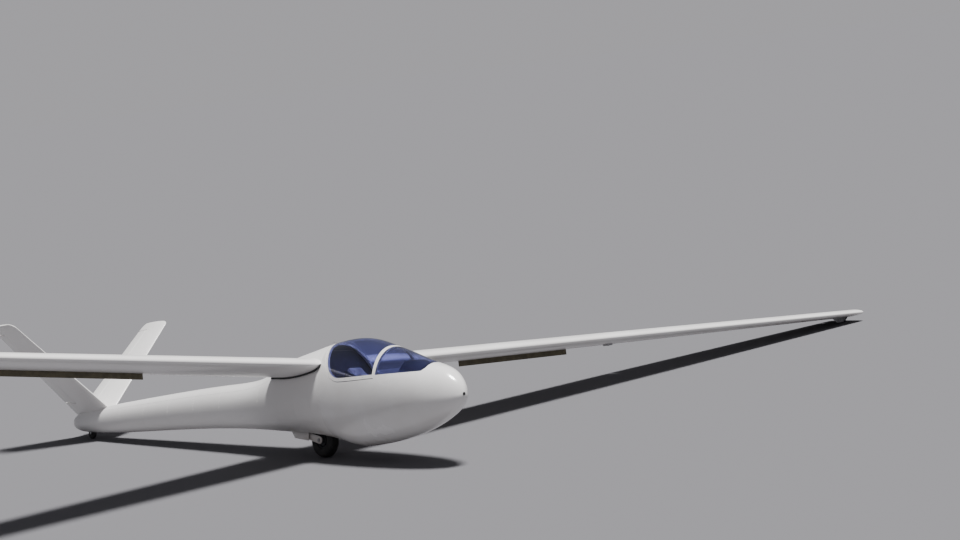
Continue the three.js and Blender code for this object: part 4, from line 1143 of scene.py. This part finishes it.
fork_parts = [cross_rod("pivot", -PIVOT_HALF, PIVOT_HALF, FORK_PIVOT, PIVOT_RADIUS, 32),
              bevelled(block(CROSS_PLATE_LOW, CROSS_PLATE_HIGH), 0.0016)]
axle_parts = [cross_rod("axle", -AXLE_HALF, AXLE_HALF, WHEEL_AT, AXLE_RADIUS, 32)]
for side in (-1, 1):
    for (inner, outer, axle_end, pivot_end), edge in ((ARM, 0.0018), (ARM_RIB, 0.0012)):
        outline = link_outline(WHEEL_AT, axle_end, FORK_PIVOT, pivot_end)
        fork_parts.append(bevelled(side_slab(outline, *on_side(side, inner, outer)), edge))
    for place, radius, steps in BOSSES:
        fork_parts.append(cross_rod("boss", side * BOSS_INNER, side * BOSS_OUTER, place, radius, steps))
    fork_parts.append(bevelled(side_slab(GUSSET, *on_side(side, GUSSET_INNER, GUSSET_OUTER)), 0.0006))
    nut = np.array(WHEEL_AT) + NUT_RADIUS * hexagon[:, 1:]
    axle_parts.append(bevelled(side_slab(nut, *on_side(side, NUT_INNER, NUT_OUTER)), 0.001))
    for inner, outer, radius, steps in COLLARS:
        axle_parts.append(cross_rod("collar", side * inner, side * outer, WHEEL_AT, radius, steps))
fastened(merged("fork_arms", fork_parts), "airframe", "paint", paint, "gear_fork")
fastened(merged("axle_and_nuts", axle_parts), "airframe", "bare_metal", bare_metal, "main_axle")

# The wheel well's doors hang open on each side of the fork, white outside, with two pressed stiffeners each.
# The well itself is primed sheet with angle stiffeners.
DOOR_OUTLINE = [(2.206, -0.310), (2.214, -0.405), (2.425, -0.372), (2.478, -0.295)]
DOOR_INNER, DOOR_OUTER = 0.0885, 0.0935
BRACE_SHARES, BRACE_TOP, BRACE_HEIGHT = (0.25, 0.7), -0.342, 0.005
STIFFENERS = np.arange(1.96, 2.46, 0.12)
STIFFENER_WIDTH, STIFFENER_THICKNESS, STIFFENER_FOOT, STIFFENER_TOP = 0.010, 0.0025, -0.315, -0.152
SUNK = 0.0005
door = bevelled(side_slab(DOOR_OUTLINE, DOOR_INNER, DOOR_OUTER), 0.0012)
door_parts = [carved(door, hull_part("hull_low", 1.9, 2.7, inset=-GAP))]
for share in BRACE_SHARES:
    y, z = np.array(DOOR_OUTLINE[1]) * (1 - share) + np.array(DOOR_OUTLINE[2]) * share
    brace = [(y - 0.008, z + 0.012), (y + 0.008, z + 0.0135), (y + 0.012, BRACE_TOP), (y - 0.004, BRACE_TOP)]
    door_parts.append(bevelled(side_slab(brace, DOOR_INNER - BRACE_HEIGHT, DOOR_INNER + SUNK), 0.0015))
on_both_sides(merged("door_panel", door_parts), "door_panel", "airframe", "paint", paint, "gear_door")
well_parts = []
for y in STIFFENERS:
    walls = [(*on_side(side, WELL_HALF + SUNK, WELL_HALF - STIFFENER_WIDTH), STIFFENER_FOOT, STIFFENER_TOP)
             for side in (-1, 1)]
    for x0, x1, z0, z1 in [*walls, (-WELL_HALF, WELL_HALF, WELL_ROOF - 0.012, WELL_ROOF + SUNK)]:
        well_parts.append(bevelled(block((x0, y, z0), (x1, y + STIFFENER_THICKNESS, z1)), 0.0006, 1))
fastened(merged("well_stiffeners", well_parts), "airframe", "primer", primer)

# The tail wheel is a small solid-tyred castor on a turned rim. It runs between two steel cheeks that hang
# from a plate in the tail cone.
TAIL_TYRE = {"radius": 0.058, "half": 0.019, "rim": 0.026}
TAIL_RIM = [(0.0067, 0.0148), (0.0125, 0.0148), (0.0135, 0.006), (0.0170, 0.005), (0.0205, 0.0125),
            (0.0256, 0.013)]
CHEEK_IN, CHEEK_OUT, CHEEK_HALF, CHEEK_TOP = 0.022, 0.026, 0.013, 0.057
CROWN_LOW, CROWN_HIGH = 0.064, 0.0705
TAIL_AXLE_HALF, TAIL_AXLE_RADIUS = 0.0262, 0.0059
tail_y, tail_z = TAIL_HUB.yz
tail_tread = tyre_outline(**TAIL_TYRE, grooves=(), count=60)
tail_tyre = spun("tail_tyre_solid", tail_tread, TAIL_HUB, ACROSS_AXIS, 72, endless=True)
fastened(crisp(tail_tyre, 50), "tail_wheel", "tyre", rubber, "tail_tyre")
tail_rim = spun("tail_rim_turned", both_halves(TAIL_RIM), TAIL_HUB, ACROSS_AXIS, 48, endless=True)
fastened(crisp(tail_rim, 35), "tail_wheel", "bare_metal", near_black_alloy, "tail_rim")
cheek = link_outline((tail_y, tail_z), CHEEK_HALF, (tail_y + 0.0005, tail_z + CHEEK_TOP), CHEEK_HALF - 0.0004)
cheek_parts = [bevelled(side_slab(cheek, *on_side(side, CHEEK_IN, CHEEK_OUT)), 0.0008) for side in (-1, 1)]
cheek_parts.append(bevelled(block((-CHEEK_OUT, tail_y - CHEEK_HALF, tail_z + CROWN_LOW),
                                  (CHEEK_OUT, tail_y + CHEEK_HALF, tail_z + CROWN_HIGH)), 0.0008))
fastened(merged("tail_cheeks", cheek_parts), "airframe", "bare_metal", bare_metal, "tail_fork")
tail_axle = cross_rod("tail_axle_bolt", -TAIL_AXLE_HALF, TAIL_AXLE_HALF, TAIL_HUB.yz, TAIL_AXLE_RADIUS)
fastened(tail_axle, "airframe", "bare_metal", bare_metal, "tail_axle")

# The seat is a bent shell of grey glass fibre over a plywood floor. Its front runs out under the knees, and
# its back leans on the bulkhead.
SEAT_LINE = [(0.855, -0.318), (0.920, -0.347), (1.130, -0.378), (1.220, -0.345), (1.310, -0.130),
             (1.395, 0.080)]
SEAT_THICKNESS, SEAT_HALF, SEAT_CLEARANCE = 0.012, 0.195, 0.010
grey_laminate = finish("grey_laminate", (0.16, 0.165, 0.17), 0.5)
mottled(grey_laminate, ((0.13, 0.135, 0.14), (0.2, 0.2, 0.205)), 40, (0.4, 0.65))
grained(grey_laminate, 260, 0.0004)
plywood = finish("varnished_plywood", (0.28, 0.17, 0.09), 0.45, Coat_Weight=0.3)
mottled(plywood, ((0.17, 0.095, 0.045), (0.33, 0.21, 0.115)), 9, (0.35, 0.6), stretch=(9, 1, 9))


def band(line, thickness):
    """The outline of a strip that lies under or behind a line in side view."""
    return [tuple(point) for point in np.concatenate([line, beside(line, thickness)[::-1]])]


seat = side_slab(band(eased(SEAT_LINE), SEAT_THICKNESS), -SEAT_HALF, SEAT_HALF)
carved(seat, hull_part("room", 0.3, 1.9, inset=POD_WALL + SEAT_CLEARANCE), "INTERSECT")
fastened(bevelled(seat, 0.002), "airframe", "cockpit_trim", grey_laminate, "seat_pan")
painted(frame["nodes"]["floor_board"], plywood)

# Three loose cushions of dark blue cloth over foam, with piped edges and sewn channels: one to sit on, one
# for the back, and a paler one behind the head on a block that stands on the bulkhead's ledge.
VOXEL = 0.006
FILL_PRESSURE, FILL_FRAMES = 4.0, 20
PIPING_RADIUS, CHANNEL_DEPTH = 0.0027, 0.005


def woven(material, thread, height):
    """A plain weave pressed into a cloth's surface, thread apart in metres."""
    tree = material.node_tree
    place = airframe_place(tree)
    across, along, over = (
        added_node(tree, "TexWave", {"Vector": place, "Scale": 0.32 / thread, "Distortion": 0.6},
                   bands_direction=direction).outputs["Fac"] for direction in ("X", "Y", "Z"))
    crossed = added_node(tree, "Math", {0: across, 1: along}, operation="MULTIPLY")
    both = added_node(tree, "Math", {0: crossed.outputs[0], 1: over}, operation="ADD")
    bumped(tree, both.outputs[0], height)


blue_cloth = finish("dark_blue_cloth", (0.03, 0.034, 0.07), 0.9, Sheen_Weight=0.25)
mottled(blue_cloth, ((0.022, 0.025, 0.05), (0.045, 0.05, 0.095)), 24, (0.8, 0.95))
woven(blue_cloth, 0.0016, 0.0004)
pale_cloth = finish("pale_grey_cloth", (0.5, 0.48, 0.47), 0.85, Sheen_Weight=0.2)
mottled(pale_cloth, ((0.42, 0.4, 0.39), (0.56, 0.54, 0.53)), 20, (0.75, 0.92))
woven(pale_cloth, 0.0016, 0.0003)
piping_cloth = finish("piping", (0.02, 0.02, 0.035), 0.7)
mottled(piping_cloth, ((0.015, 0.015, 0.028), (0.03, 0.03, 0.045)), 80, (0.6, 0.8))


def pillow_point(line, half_width, half_depth, turn, s, face):
    """A point of a cushion: s along its line, turn round it, on its front when face is above 0."""
    run = run_along(line)
    y, z = (np.interp(s * run[-1], run, line[:, k]) for k in (0, 1))
    along = np.gradient(line, axis=0)
    dy, dz = (np.interp(s * run[-1], run, along[:, k]) for k in (0, 1))
    length = np.hypot(dy, dz)
    end = np.clip(1 - np.abs(2 * s - 1) ** 9, 0, 1)
    x = half_width * end ** (1 / 9) * turn
    out = half_depth * end ** (1 / 4) * face
    return np.stack(np.broadcast_arrays(x, y - dz / length * out, z + dy / length * out), -1)


def pillow(name, line, half_width, half_depth):
    turn = np.linspace(0, 2 * math.pi, 72, endpoint=False)
    wide, deep = powered(np.cos(turn), 0.4), powered(np.sin(turn), 0.4)
    s = (1 - np.cos(np.linspace(0.12, math.pi - 0.12, 44))) / 2
    return lofted(name, pillow_point(line, half_width, half_depth, wide, s[:, None], deep))


def places_of(mesh):
    found = np.empty(len(mesh.vertices) * 3)
    mesh.vertices.foreach_get("co", found)
    return found.reshape(-1, 3)


def put_at(mesh, places):
    mesh.vertices.foreach_set("co", places.ravel())
    mesh.update()


def stuffed(piece, most):
    """Fills a cushion's cover under pressure, no point moving further than most, then rounds it once."""
    mesher = piece.modifiers.new("cover", "REMESH")
    mesher.mode = "VOXEL"
    mesher.voxel_size = VOXEL
    settled(piece)
    scene = bpy.context.scene
    start = places_of(piece.data)
    cover = piece.modifiers.new("filling", "CLOTH")
    cover.settings.use_pressure = True
    cover.settings.uniform_pressure_force = FILL_PRESSURE
    cover.settings.effector_weights.gravity = 0
    cover.point_cache.frame_end = FILL_FRAMES
    for step in range(1, FILL_FRAMES + 1):
        scene.frame_set(step)
    move = places_of(piece.evaluated_get(bpy.context.evaluated_depsgraph_get()).data) - start
    length = np.linalg.norm(move, axis=1)[:, None] + 1e-9
    piece.modifiers.clear()
    put_at(piece.data, start + move * most * np.tanh(length / most) / length)
    scene.frame_set(1)
    rounder = piece.modifiers.new("rounder", "SUBSURF")
    rounder.levels = rounder.render_levels = 1
    settled(piece)
    return piece


def sewn(piece, axis, out, lines, width):
    """Presses sewn channels into a cushion's front, where its place along an axis meets one of the lines."""
    points = moved(places_of(piece.data), TO_AIRFRAME)
    normals = np.empty(len(points) * 3)
    piece.data.vertex_normals.foreach_get("vector", normals)
    turned = normals.reshape(-1, 3) @ np.array(TO_AIRFRAME.to_3x3()).T
    facing = np.clip(turned @ out * 2 - 0.6, 0, 1)
    press = sum(np.exp(-((points[:, axis] - line) / width) ** 2) for line in lines)
    put_at(piece.data, moved(points - (CHANNEL_DEPTH * press * facing)[:, None] * out, AIRFRAME))


def tube(name, path, radius, steps=10, endless=False):
    """A round tube along a path, its radius one number or one for each point."""
    path = np.array(path, float)
    along = headings(path)
    if endless:
        along = np.roll(path, -1, 0) - np.roll(path, 1, 0)
        along /= np.linalg.norm(along, axis=1)[:, None]
    side = np.cross(along[0], (0.31, 0.17, 0.94))
    turn = np.linspace(0, 2 * math.pi, steps, endpoint=False)
    rings = []
    for point, forward, reach in zip(path, along, np.broadcast_to(radius, len(path))):
        side = side - forward * (side @ forward)
        side /= np.linalg.norm(side)
        rings.append(point + reach * spokes(turn, side, np.cross(forward, side)))
    return lofted(name, rings, endless)


def on_cushion(piece, points, stand_off):
    """The nearest places on a cushion to some points, stood off from its cover, all in airframe axes."""
    found = []
    for point in points:
        _, place, normal, _ = piece.closest_point_on_mesh(AIRFRAME @ Vector(point))
        found.append(np.array(TO_AIRFRAME @ (place + normal * stand_off)))
    return np.array(found)


def piped(piece, line, half_width, half_depth):
    """A piped edge sewn round a cushion's front."""
    turn = np.linspace(0, 2 * math.pi, 120, endpoint=False)
    wide = powered(np.cos(turn), 0.28)
    s = np.clip(0.5 + 0.5 * powered(np.sin(turn), 0.28), 0.004, 0.996)
    path = on_cushion(piece, pillow_point(line, half_width * 1.06, half_depth, wide, s, 0.75), 0.0008)
    for _ in range(3):
        path = (np.roll(path, 1, 0) + 2 * path + np.roll(path, -1, 0)) / 4
    welt = tube(f"{piece.name}_piping", path, PIPING_RADIUS, 8, endless=True)
    fastened(welt, "airframe", "upholstery", piping_cloth)


# the front faces in side view
SEAT_TOP = np.array([(0.872, -0.278), (0.930, -0.300), (1.020, -0.314), (1.110, -0.327)])
BACK_FRONT = np.array([(1.177, -0.280), (1.230, -0.180), (1.277, -0.092), (1.316, 0.004), (1.352, 0.094)])
HEAD_FRONT = np.array([(1.452, 0.158), (1.509, 0.202), (1.566, 0.246)])
# name, front, depth, half-width, half-depth before filling, how far the filling may push, cloth, solid
CUSHIONS = [
    ("seat_cushion_blue", SEAT_TOP, 0.045, 0.155, 0.0165, 0.007, blue_cloth, "seat_cushion"),
    ("back_cushion_blue", BACK_FRONT, 0.042, 0.160, 0.0150, 0.007, blue_cloth, "back_cushion"),
    ("headrest_pad", HEAD_FRONT, 0.056, 0.079, 0.0210, 0.008, pale_cloth, "headrest"),
]
# the axis across the sewn channels, their places on it, and their width
CHANNELS = {"seat_cushion": (0, (-0.096, -0.032, 0.032, 0.096), 0.007),
            "back_cushion": (2, (-0.215, -0.14, -0.065, 0.01), 0.008)}
BLOCK_BEHIND, BLOCK_DEPTH, BLOCK_HALF = 0.052, 0.078, 0.078
cushions = {}
for name, front, depth, half_width, half_depth, swell, cloth, solid in CUSHIONS:
    line = beside(front, depth / 2)
    cushion = stuffed(pillow(name, line, half_width, half_depth), swell)
    facing = line[-1] - line[0]
    facing = np.array([0, -facing[1], facing[0]]) / np.linalg.norm(facing)
    if solid in CHANNELS:
        axis, lines, width = CHANNELS[solid]
        sewn(cushion, axis, facing, lines, width)
    cushion.data.shade_smooth()
    fastened(cushion, "airframe", "upholstery", cloth, solid)
    piped(cushion, line, half_width, half_depth)
    cushions[solid] = cushion
head_block = side_slab(band(beside(HEAD_FRONT, BLOCK_BEHIND), BLOCK_DEPTH), -BLOCK_HALF, BLOCK_HALF)
carved(head_block, side_slab([*BULKHEAD, (2.3, OPEN_SPACE), (2.3, -0.6)], *ACROSS))
fastened(bevelled(head_block, 0.003), "airframe", "cockpit_trim", grey_laminate)

# A four-point harness of grey webbing: two shoulder straps from the bulkhead and two lap straps from the
# seat's sides, joined at a round steel buckle.
STRAP_WIDTH, STRAP_THICKNESS, STRAP_STAND_OFF = 0.044, 0.0024, 0.0032
STRAP_SECTION = [(-1, -0.6), (-0.94, -1), (0.94, -1), (1, -0.6), (1, 0.6), (0.94, 1), (-0.94, 1), (-1, 0.6)]
OVER_SHOULDER = [(0.087, 1.362, 0.124), (0.088, 1.395, 0.128), (0.088, 1.428, 0.098), (0.088, 1.452, 0.055)]
# radius and place along the buckle's axis, from its front
BUCKLE = [(0.0005, 0.016), (0.020, 0.0155), (0.0235, 0.013), (0.024, 0.010), (0.030, 0.009), (0.032, 0.006),
          (0.032, -0.004), (0.0005, -0.005)]
webbing = finish("grey_webbing", (0.10, 0.105, 0.12), 0.8, Sheen_Weight=0.1)
mottled(webbing, ((0.075, 0.08, 0.09), (0.13, 0.135, 0.15)), 60, (0.7, 0.9))
woven(webbing, 0.0022, 0.0005)


def laid_on(path, cushion):
    """Lifts the points of a path that would lie inside a cushion up onto its cover."""
    lifted = []
    for point in path:
        at = AIRFRAME @ Vector(point)
        _, place, normal, _ = cushion.closest_point_on_mesh(at)
        short = STRAP_STAND_OFF - (at - place).dot(normal)
        near = (at - place).length < 0.04
        lifted.append(TO_AIRFRAME @ (at + normal * short) if near and short > 0 else Vector(point))
    return np.array(lifted)


def relaxed(path):
    """A path with its bends eased once. Its two ends stay."""
    return np.concatenate([path[:1], (path[:-2] + 2 * path[1:-1] + path[2:]) / 4, path[-1:]])


def strap(name, path, wide, cushion):
    """Webbing along a path and over a cushion, its width lying along the direction wide."""
    path = relaxed(relaxed(np.array(path, float)))
    run = run_along(path)
    first, last = (path[1] - path[0]) / run[1], (path[-1] - path[-2]) / (run[-1] - run[-2])
    path = smooth_curve(run, path, first, last, 70)
    for _ in range(4):
        path = relaxed(laid_on(path, cushion))
    path = laid_on(path, cushion)
    along = headings(path)
    wide = np.array(wide) - along * (along @ np.array(wide))[:, None]
    wide /= np.linalg.norm(wide, axis=1)[:, None]
    thick = np.cross(along, wide)
    rings = [path + STRAP_WIDTH / 2 * u * wide + STRAP_THICKNESS / 2 * v * thick for u, v in STRAP_SECTION]
    fastened(crisp(lofted(name, np.stack(rings, 1)), 40), "airframe", "upholstery", webbing)


seat_cushion, back_cushion = cushions["seat_cushion"], cushions["back_cushion"]
buckle_at = on_cushion(seat_cushion, [(0, 1.035, -0.26)], 0.011)[0]
back_rise = BACK_FRONT[-1] - BACK_FRONT[0]
for side, name in ((-1, "starboard"), (1, "port")):
    up_back = [BACK_FRONT[0] + back_rise * (0.12 + 0.12 * k) for k in range(8)]
    rest = on_cushion(back_cushion, [(side * (0.066 + 0.02 * k / 7), y - 0.03, z + 0.012)
                                     for k, (y, z) in enumerate(up_back)], 0.0035)
    shoulder = [buckle_at + [side * 0.014, 0.024, 0.0], buckle_at + [side * 0.032, 0.075, 0.004],
                (side * 0.062, 1.155, -0.262), *rest, *[(side * x, y, z) for x, y, z in OVER_SHOULDER]]
    strap(f"shoulder_strap_{name}", shoulder, (1, 0, 0), back_cushion)
    lap = on_cushion(seat_cushion, [(side * x, 1.045 + 0.2 * x, -0.25) for x in (0.05, 0.09, 0.13)], 0.0035)
    hip = [buckle_at + [side * 0.022, 0.004, 0.0], *lap, (side * 0.164, 1.088, -0.322),
           (side * 0.176, 1.106, -0.345)]
    strap(f"lap_strap_{name}", hip, (0, 1, 0), seat_cushion)
buckle = spun("harness_buckle", BUCKLE, buckle_at, (0, -0.13, 1), 40)
fastened(crisp(buckle), "airframe", "bare_metal", bare_metal)

# The instrument panel is a black crackle-painted sheet with seven round instruments, which have plain scales
# and white needles. It stands under a moulded cowl, covered in dark blue cloth against glare, that follows
# the inside of the windshield and is flat on top.
PANEL = [(0.642, -0.120), (0.655, 0.2355), (0.677, 0.2355), (0.662, -0.120)]
PANEL_HALF = 0.205
# station and level of the panel's aft face at its foot and at its top
FACE_FOOT, FACE_TOP = (0.662, -0.120), (0.677, 0.238)
# place to port, level, radius and where the needle points, in degrees
DIALS = [(-0.084, 0.118, 0.040, 210), (0.004, 0.124, 0.040, 140), (0.090, 0.112, 0.036, 265),
         (-0.128, 0.022, 0.0285, 90), (-0.046, 0.024, 0.0285, 180), (0.036, 0.024, 0.0285, 320),
         (0.118, 0.022, 0.0285, 40)]
MARKS, MARK_START, MARK_SWEEP = 24, 30, 300
# how far out from its radius, and place along its axis, of a dial's bezel, and the same of its middle
BEZEL = [(0.002, -0.001), (0.002, 0.006), (-0.001, 0.0085), (-0.004, 0.0085), (-0.0055, 0.0015)]
BEZEL_MIDDLE = [(0.0004, 0.0015), (0.0004, -0.001)]
# length and width of the long and of the short marks on a scale
LONG_MARK, SHORT_MARK = (0.0055, 0.0011), (0.0032, 0.0007)
COWL_FRONT, COWL_AFT, COWL_FOOT, COWL_TOP = 0.385, 0.690, 0.112, 0.243
COWL_WALL, COWL_INSET = 0.007, 0.026
panel_black = finish("crackle_black", (0.022, 0.022, 0.024), 0.6)
mottled(panel_black, ((0.016, 0.016, 0.018), (0.03, 0.03, 0.033)), 50, (0.5, 0.75))
grained(panel_black, 900, 0.0003)
scale_white = finish("scale_white", (0.75, 0.75, 0.7), 0.5)
mottled(scale_white, ((0.68, 0.68, 0.63), (0.8, 0.8, 0.76)), 200, (0.45, 0.6))
panel = side_slab(PANEL, -PANEL_HALF, PANEL_HALF)
under_cowl = hull_part("under_cowl", 0.3, 1.2, inset=COWL_INSET + COWL_WALL)
carved(under_cowl, block((-0.6, 0.2, -0.6), (0.6, 1.3, COWL_TOP - COWL_WALL)), "INTERSECT")
carved(panel, under_cowl, "INTERSECT", keep_tool=True)
fastened(bevelled(panel, 0.0012), "airframe", "cockpit_trim", panel_black)
cowl = hull_part("glare_cowl", 0.3, 1.2, spacing=0.012, inset=COWL_INSET)
carved(cowl, block((-0.6, COWL_FRONT, COWL_FOOT), (0.6, COWL_AFT, COWL_TOP)), "INTERSECT")
carved(cowl, under_cowl)
fastened(crisp(bevelled(cowl, 0.0022, 3), 50), "airframe", "cockpit_trim", blue_cloth, "instrument_panel")
face_run, face_rise = np.subtract(FACE_TOP, FACE_FOOT)
panel_out = np.array([0, face_rise, -face_run]) / math.hypot(face_run, face_rise)
panel_up = np.array([0, face_run, face_rise]) / math.hypot(face_run, face_rise)
to_port = np.array([1, 0, 0])


def bar(centre, along, length, width, height):
    """A thin raised bar on the panel."""
    wide = np.cross(panel_out, along)
    corners = [centre + a * length / 2 * along + w * width / 2 * wide + o * panel_out
               for o in (0, height) for a, w in ((-1, -1), (1, -1), (1, 1), (-1, 1))]
    faces = [(0, 1, 2, 3), (4, 5, 6, 7), (0, 1, 5, 4), (1, 2, 6, 5), (2, 3, 7, 6), (3, 0, 4, 7)]
    return painted(made("bar", corners, faces), scale_white)


def reading_line(degrees):
    """The direction on a dial's face from its middle to a reading, clockwise from straight down."""
    turn = math.radians(degrees)
    return math.sin(turn) * to_port - math.cos(turn) * panel_up


dial_parts = []
for x, z, radius, reading in DIALS:
    centre = np.array([x, FACE_FOOT[0] + (z - FACE_FOOT[1]) * face_run / face_rise, z])
    profile = [(radius + out, along) for out, along in BEZEL] + BEZEL_MIDDLE
    bezel = spun("bezel", profile, centre, panel_out, 44, endless=True)
    dial_parts.append(painted(crisp(bezel), black_plastic))
    face = centre + 0.0014 * panel_out
    for mark in range(MARKS):
        spoke = reading_line(MARK_START + mark * MARK_SWEEP / (MARKS - 1))
        length, width = LONG_MARK if mark % 4 == 0 else SHORT_MARK
        dial_parts.append(bar(face + spoke * (radius - 0.0065 - length / 2), spoke, length, width, 0.0004))
    spoke = reading_line(reading)
    needle_at = face + 0.0016 * panel_out + spoke * radius * 0.28
    dial_parts.append(bar(needle_at, spoke, radius * 0.95, 0.0016, 0.0006))
    dial_parts.append(painted(rod("needle_hub", face, face + 0.0030 * panel_out, 0.0042), black_plastic))
fastened(merged("instruments", dial_parts), "airframe", "cockpit_trim", None)

# The control stick is bent steel tube with a moulded grip and a rubber bellows where it meets the floor.
# The rudder pedals are pressed plates on a cross tube, with rubber ribs to hold the feet.
STICK = [(0.795, -0.325), (0.790, -0.230), (0.772, -0.130), (0.766, -0.050)]
STICK_RADIUS, GRIP_RADIUS, GRIP_SWELL, BELLOWS_RADIUS, BELLOWS_FOLD = 0.0105, 0.0150, 0.0012, 0.046, 0.0035
PEDALS = (-0.070, 0.070)
BAR_AT, BAR_HALF, BAR_RADIUS = (0.410, -0.188), 0.115, 0.0079
PEDAL_HALF, PEDAL_FRONT, PEDAL_AFT, PEDAL_FOOT, PEDAL_TOP = 0.042, 0.392, 0.404, -0.200, -0.080
FOOT_RIB_HALF, FOOT_RIB_FRONT, FOOT_RIB_AFT, FOOT_RIB_RISE = 0.036, 0.4035, 0.4062, 0.003
FOOT_RIB_LEVELS = (-0.165, -0.145, -0.125, -0.105)
stick_path = [(0, y, z) for y, z in eased(STICK)]
grip_run = np.linspace(0, 1, 30)
grip_radius = GRIP_RADIUS + GRIP_SWELL * np.sin(grip_run * math.pi * 8) * (grip_run < 0.85)
grip_radius -= 0.036 * np.clip(grip_run - 0.9, 0, 1)
grip_path = [(0, 0.775 - 0.009 * s, -0.140 + 0.091 * s) for s in grip_run]
fold = np.linspace(0, 1, 40)
bellows_radius = BELLOWS_RADIUS - 0.030 * fold + BELLOWS_FOLD * np.cos(fold * 2 * math.pi * 5)
bellows_path = [(0, 0.7955 - 0.004 * s, -0.330 + 0.075 * s) for s in fold]
stick_parts = [painted(tube("stick_tube", stick_path, STICK_RADIUS, 20), bare_metal),
               painted(crisp(tube("stick_grip", grip_path, grip_radius, 24), 60), rubber_black),
               painted(tube("stick_bellows", bellows_path, bellows_radius, 36), rubber_black)]
fastened(merged("control_stick_assembly", stick_parts), "airframe", "cockpit_trim", None, "control_stick")

pedal_parts = [painted(cross_rod("pedal_bar", -BAR_HALF, BAR_HALF, BAR_AT, BAR_RADIUS), bare_metal)]
for x in PEDALS:
    plate = block((x - PEDAL_HALF, PEDAL_FRONT, PEDAL_FOOT), (x + PEDAL_HALF, PEDAL_AFT, PEDAL_TOP))
    pedal_parts.append(painted(bevelled(plate, 0.003), bare_metal))
    for z in FOOT_RIB_LEVELS:
        rib = block((x - FOOT_RIB_HALF, FOOT_RIB_FRONT, z - FOOT_RIB_RISE),
                    (x + FOOT_RIB_HALF, FOOT_RIB_AFT, z + FOOT_RIB_RISE))
        pedal_parts.append(painted(bevelled(rib, 0.001), rubber_black))
fastened(merged("pedal_plates", pedal_parts), "airframe", "bare_metal", None, "rudder_pedals")

# Two steel levers with round knobs stand on plates on the port wall: a blue one works the dive brakes and a
# black one the flaps.
BALL = [(0.0004, -0.015), (0.0075, -0.013), (0.013, -0.0075), (0.015, 0.0), (0.013, 0.0075), (0.0075, 0.013),
        (0.0004, 0.015)]
LEVER_FOOT, LEVER_RADIUS, LEVER_PIVOT = -0.130, 0.0048, 0.009
LEVER_PLATE_REACH, LEVER_PLATE_FOOT, LEVER_PLATE_TOP = 0.055, -0.150, -0.112
blue_knob = finish("blue_plastic", (0.02, 0.06, 0.30), 0.35)
mottled(blue_knob, ((0.015, 0.045, 0.24), (0.03, 0.08, 0.36)), 120, (0.3, 0.45))
# station, how far the knob leans aft of the foot, and the knob's finish
LEVERS = [(0.90, -0.045, blue_knob), (1.06, -0.030, rubber_black)]
lever_parts = []
for y, lean, knob in LEVERS:
    wall = wall_at(y, LEVER_FOOT, POD_WALL)
    foot = np.array([wall - 0.012, y, LEVER_FOOT])
    end = np.array([wall - 0.030, y + lean, 0.0])
    plate = block((wall - 0.010, y - LEVER_PLATE_REACH, LEVER_PLATE_FOOT),
                  (wall + 0.004, y + LEVER_PLATE_REACH, LEVER_PLATE_TOP))
    pivot = cross_rod("pivot", wall + 0.002, wall - 0.018, foot[1:], LEVER_PIVOT)
    lever = tube("lever", np.linspace(foot, end, 8), LEVER_RADIUS, 14)
    ball = spun("lever_ball", BALL, end, end - foot, 28)
    lever_parts += [painted(steel, bare_metal) for steel in (bevelled(plate, 0.002), pivot, lever)]
    lever_parts.append(painted(crisp(ball, 60), knob))
fastened(merged("side_levers", lever_parts), "airframe", "bare_metal", None)

# The tie-down pads and the tip skids are bolted-on steel under the wings. Their solids show as they are, in
# the finish of the other steel.
for name in ("tie_down_port", "tie_down_starboard", "tip_skid_port", "tip_skid_starboard"):
    painted(frame["nodes"][name], bare_metal)

low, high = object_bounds()
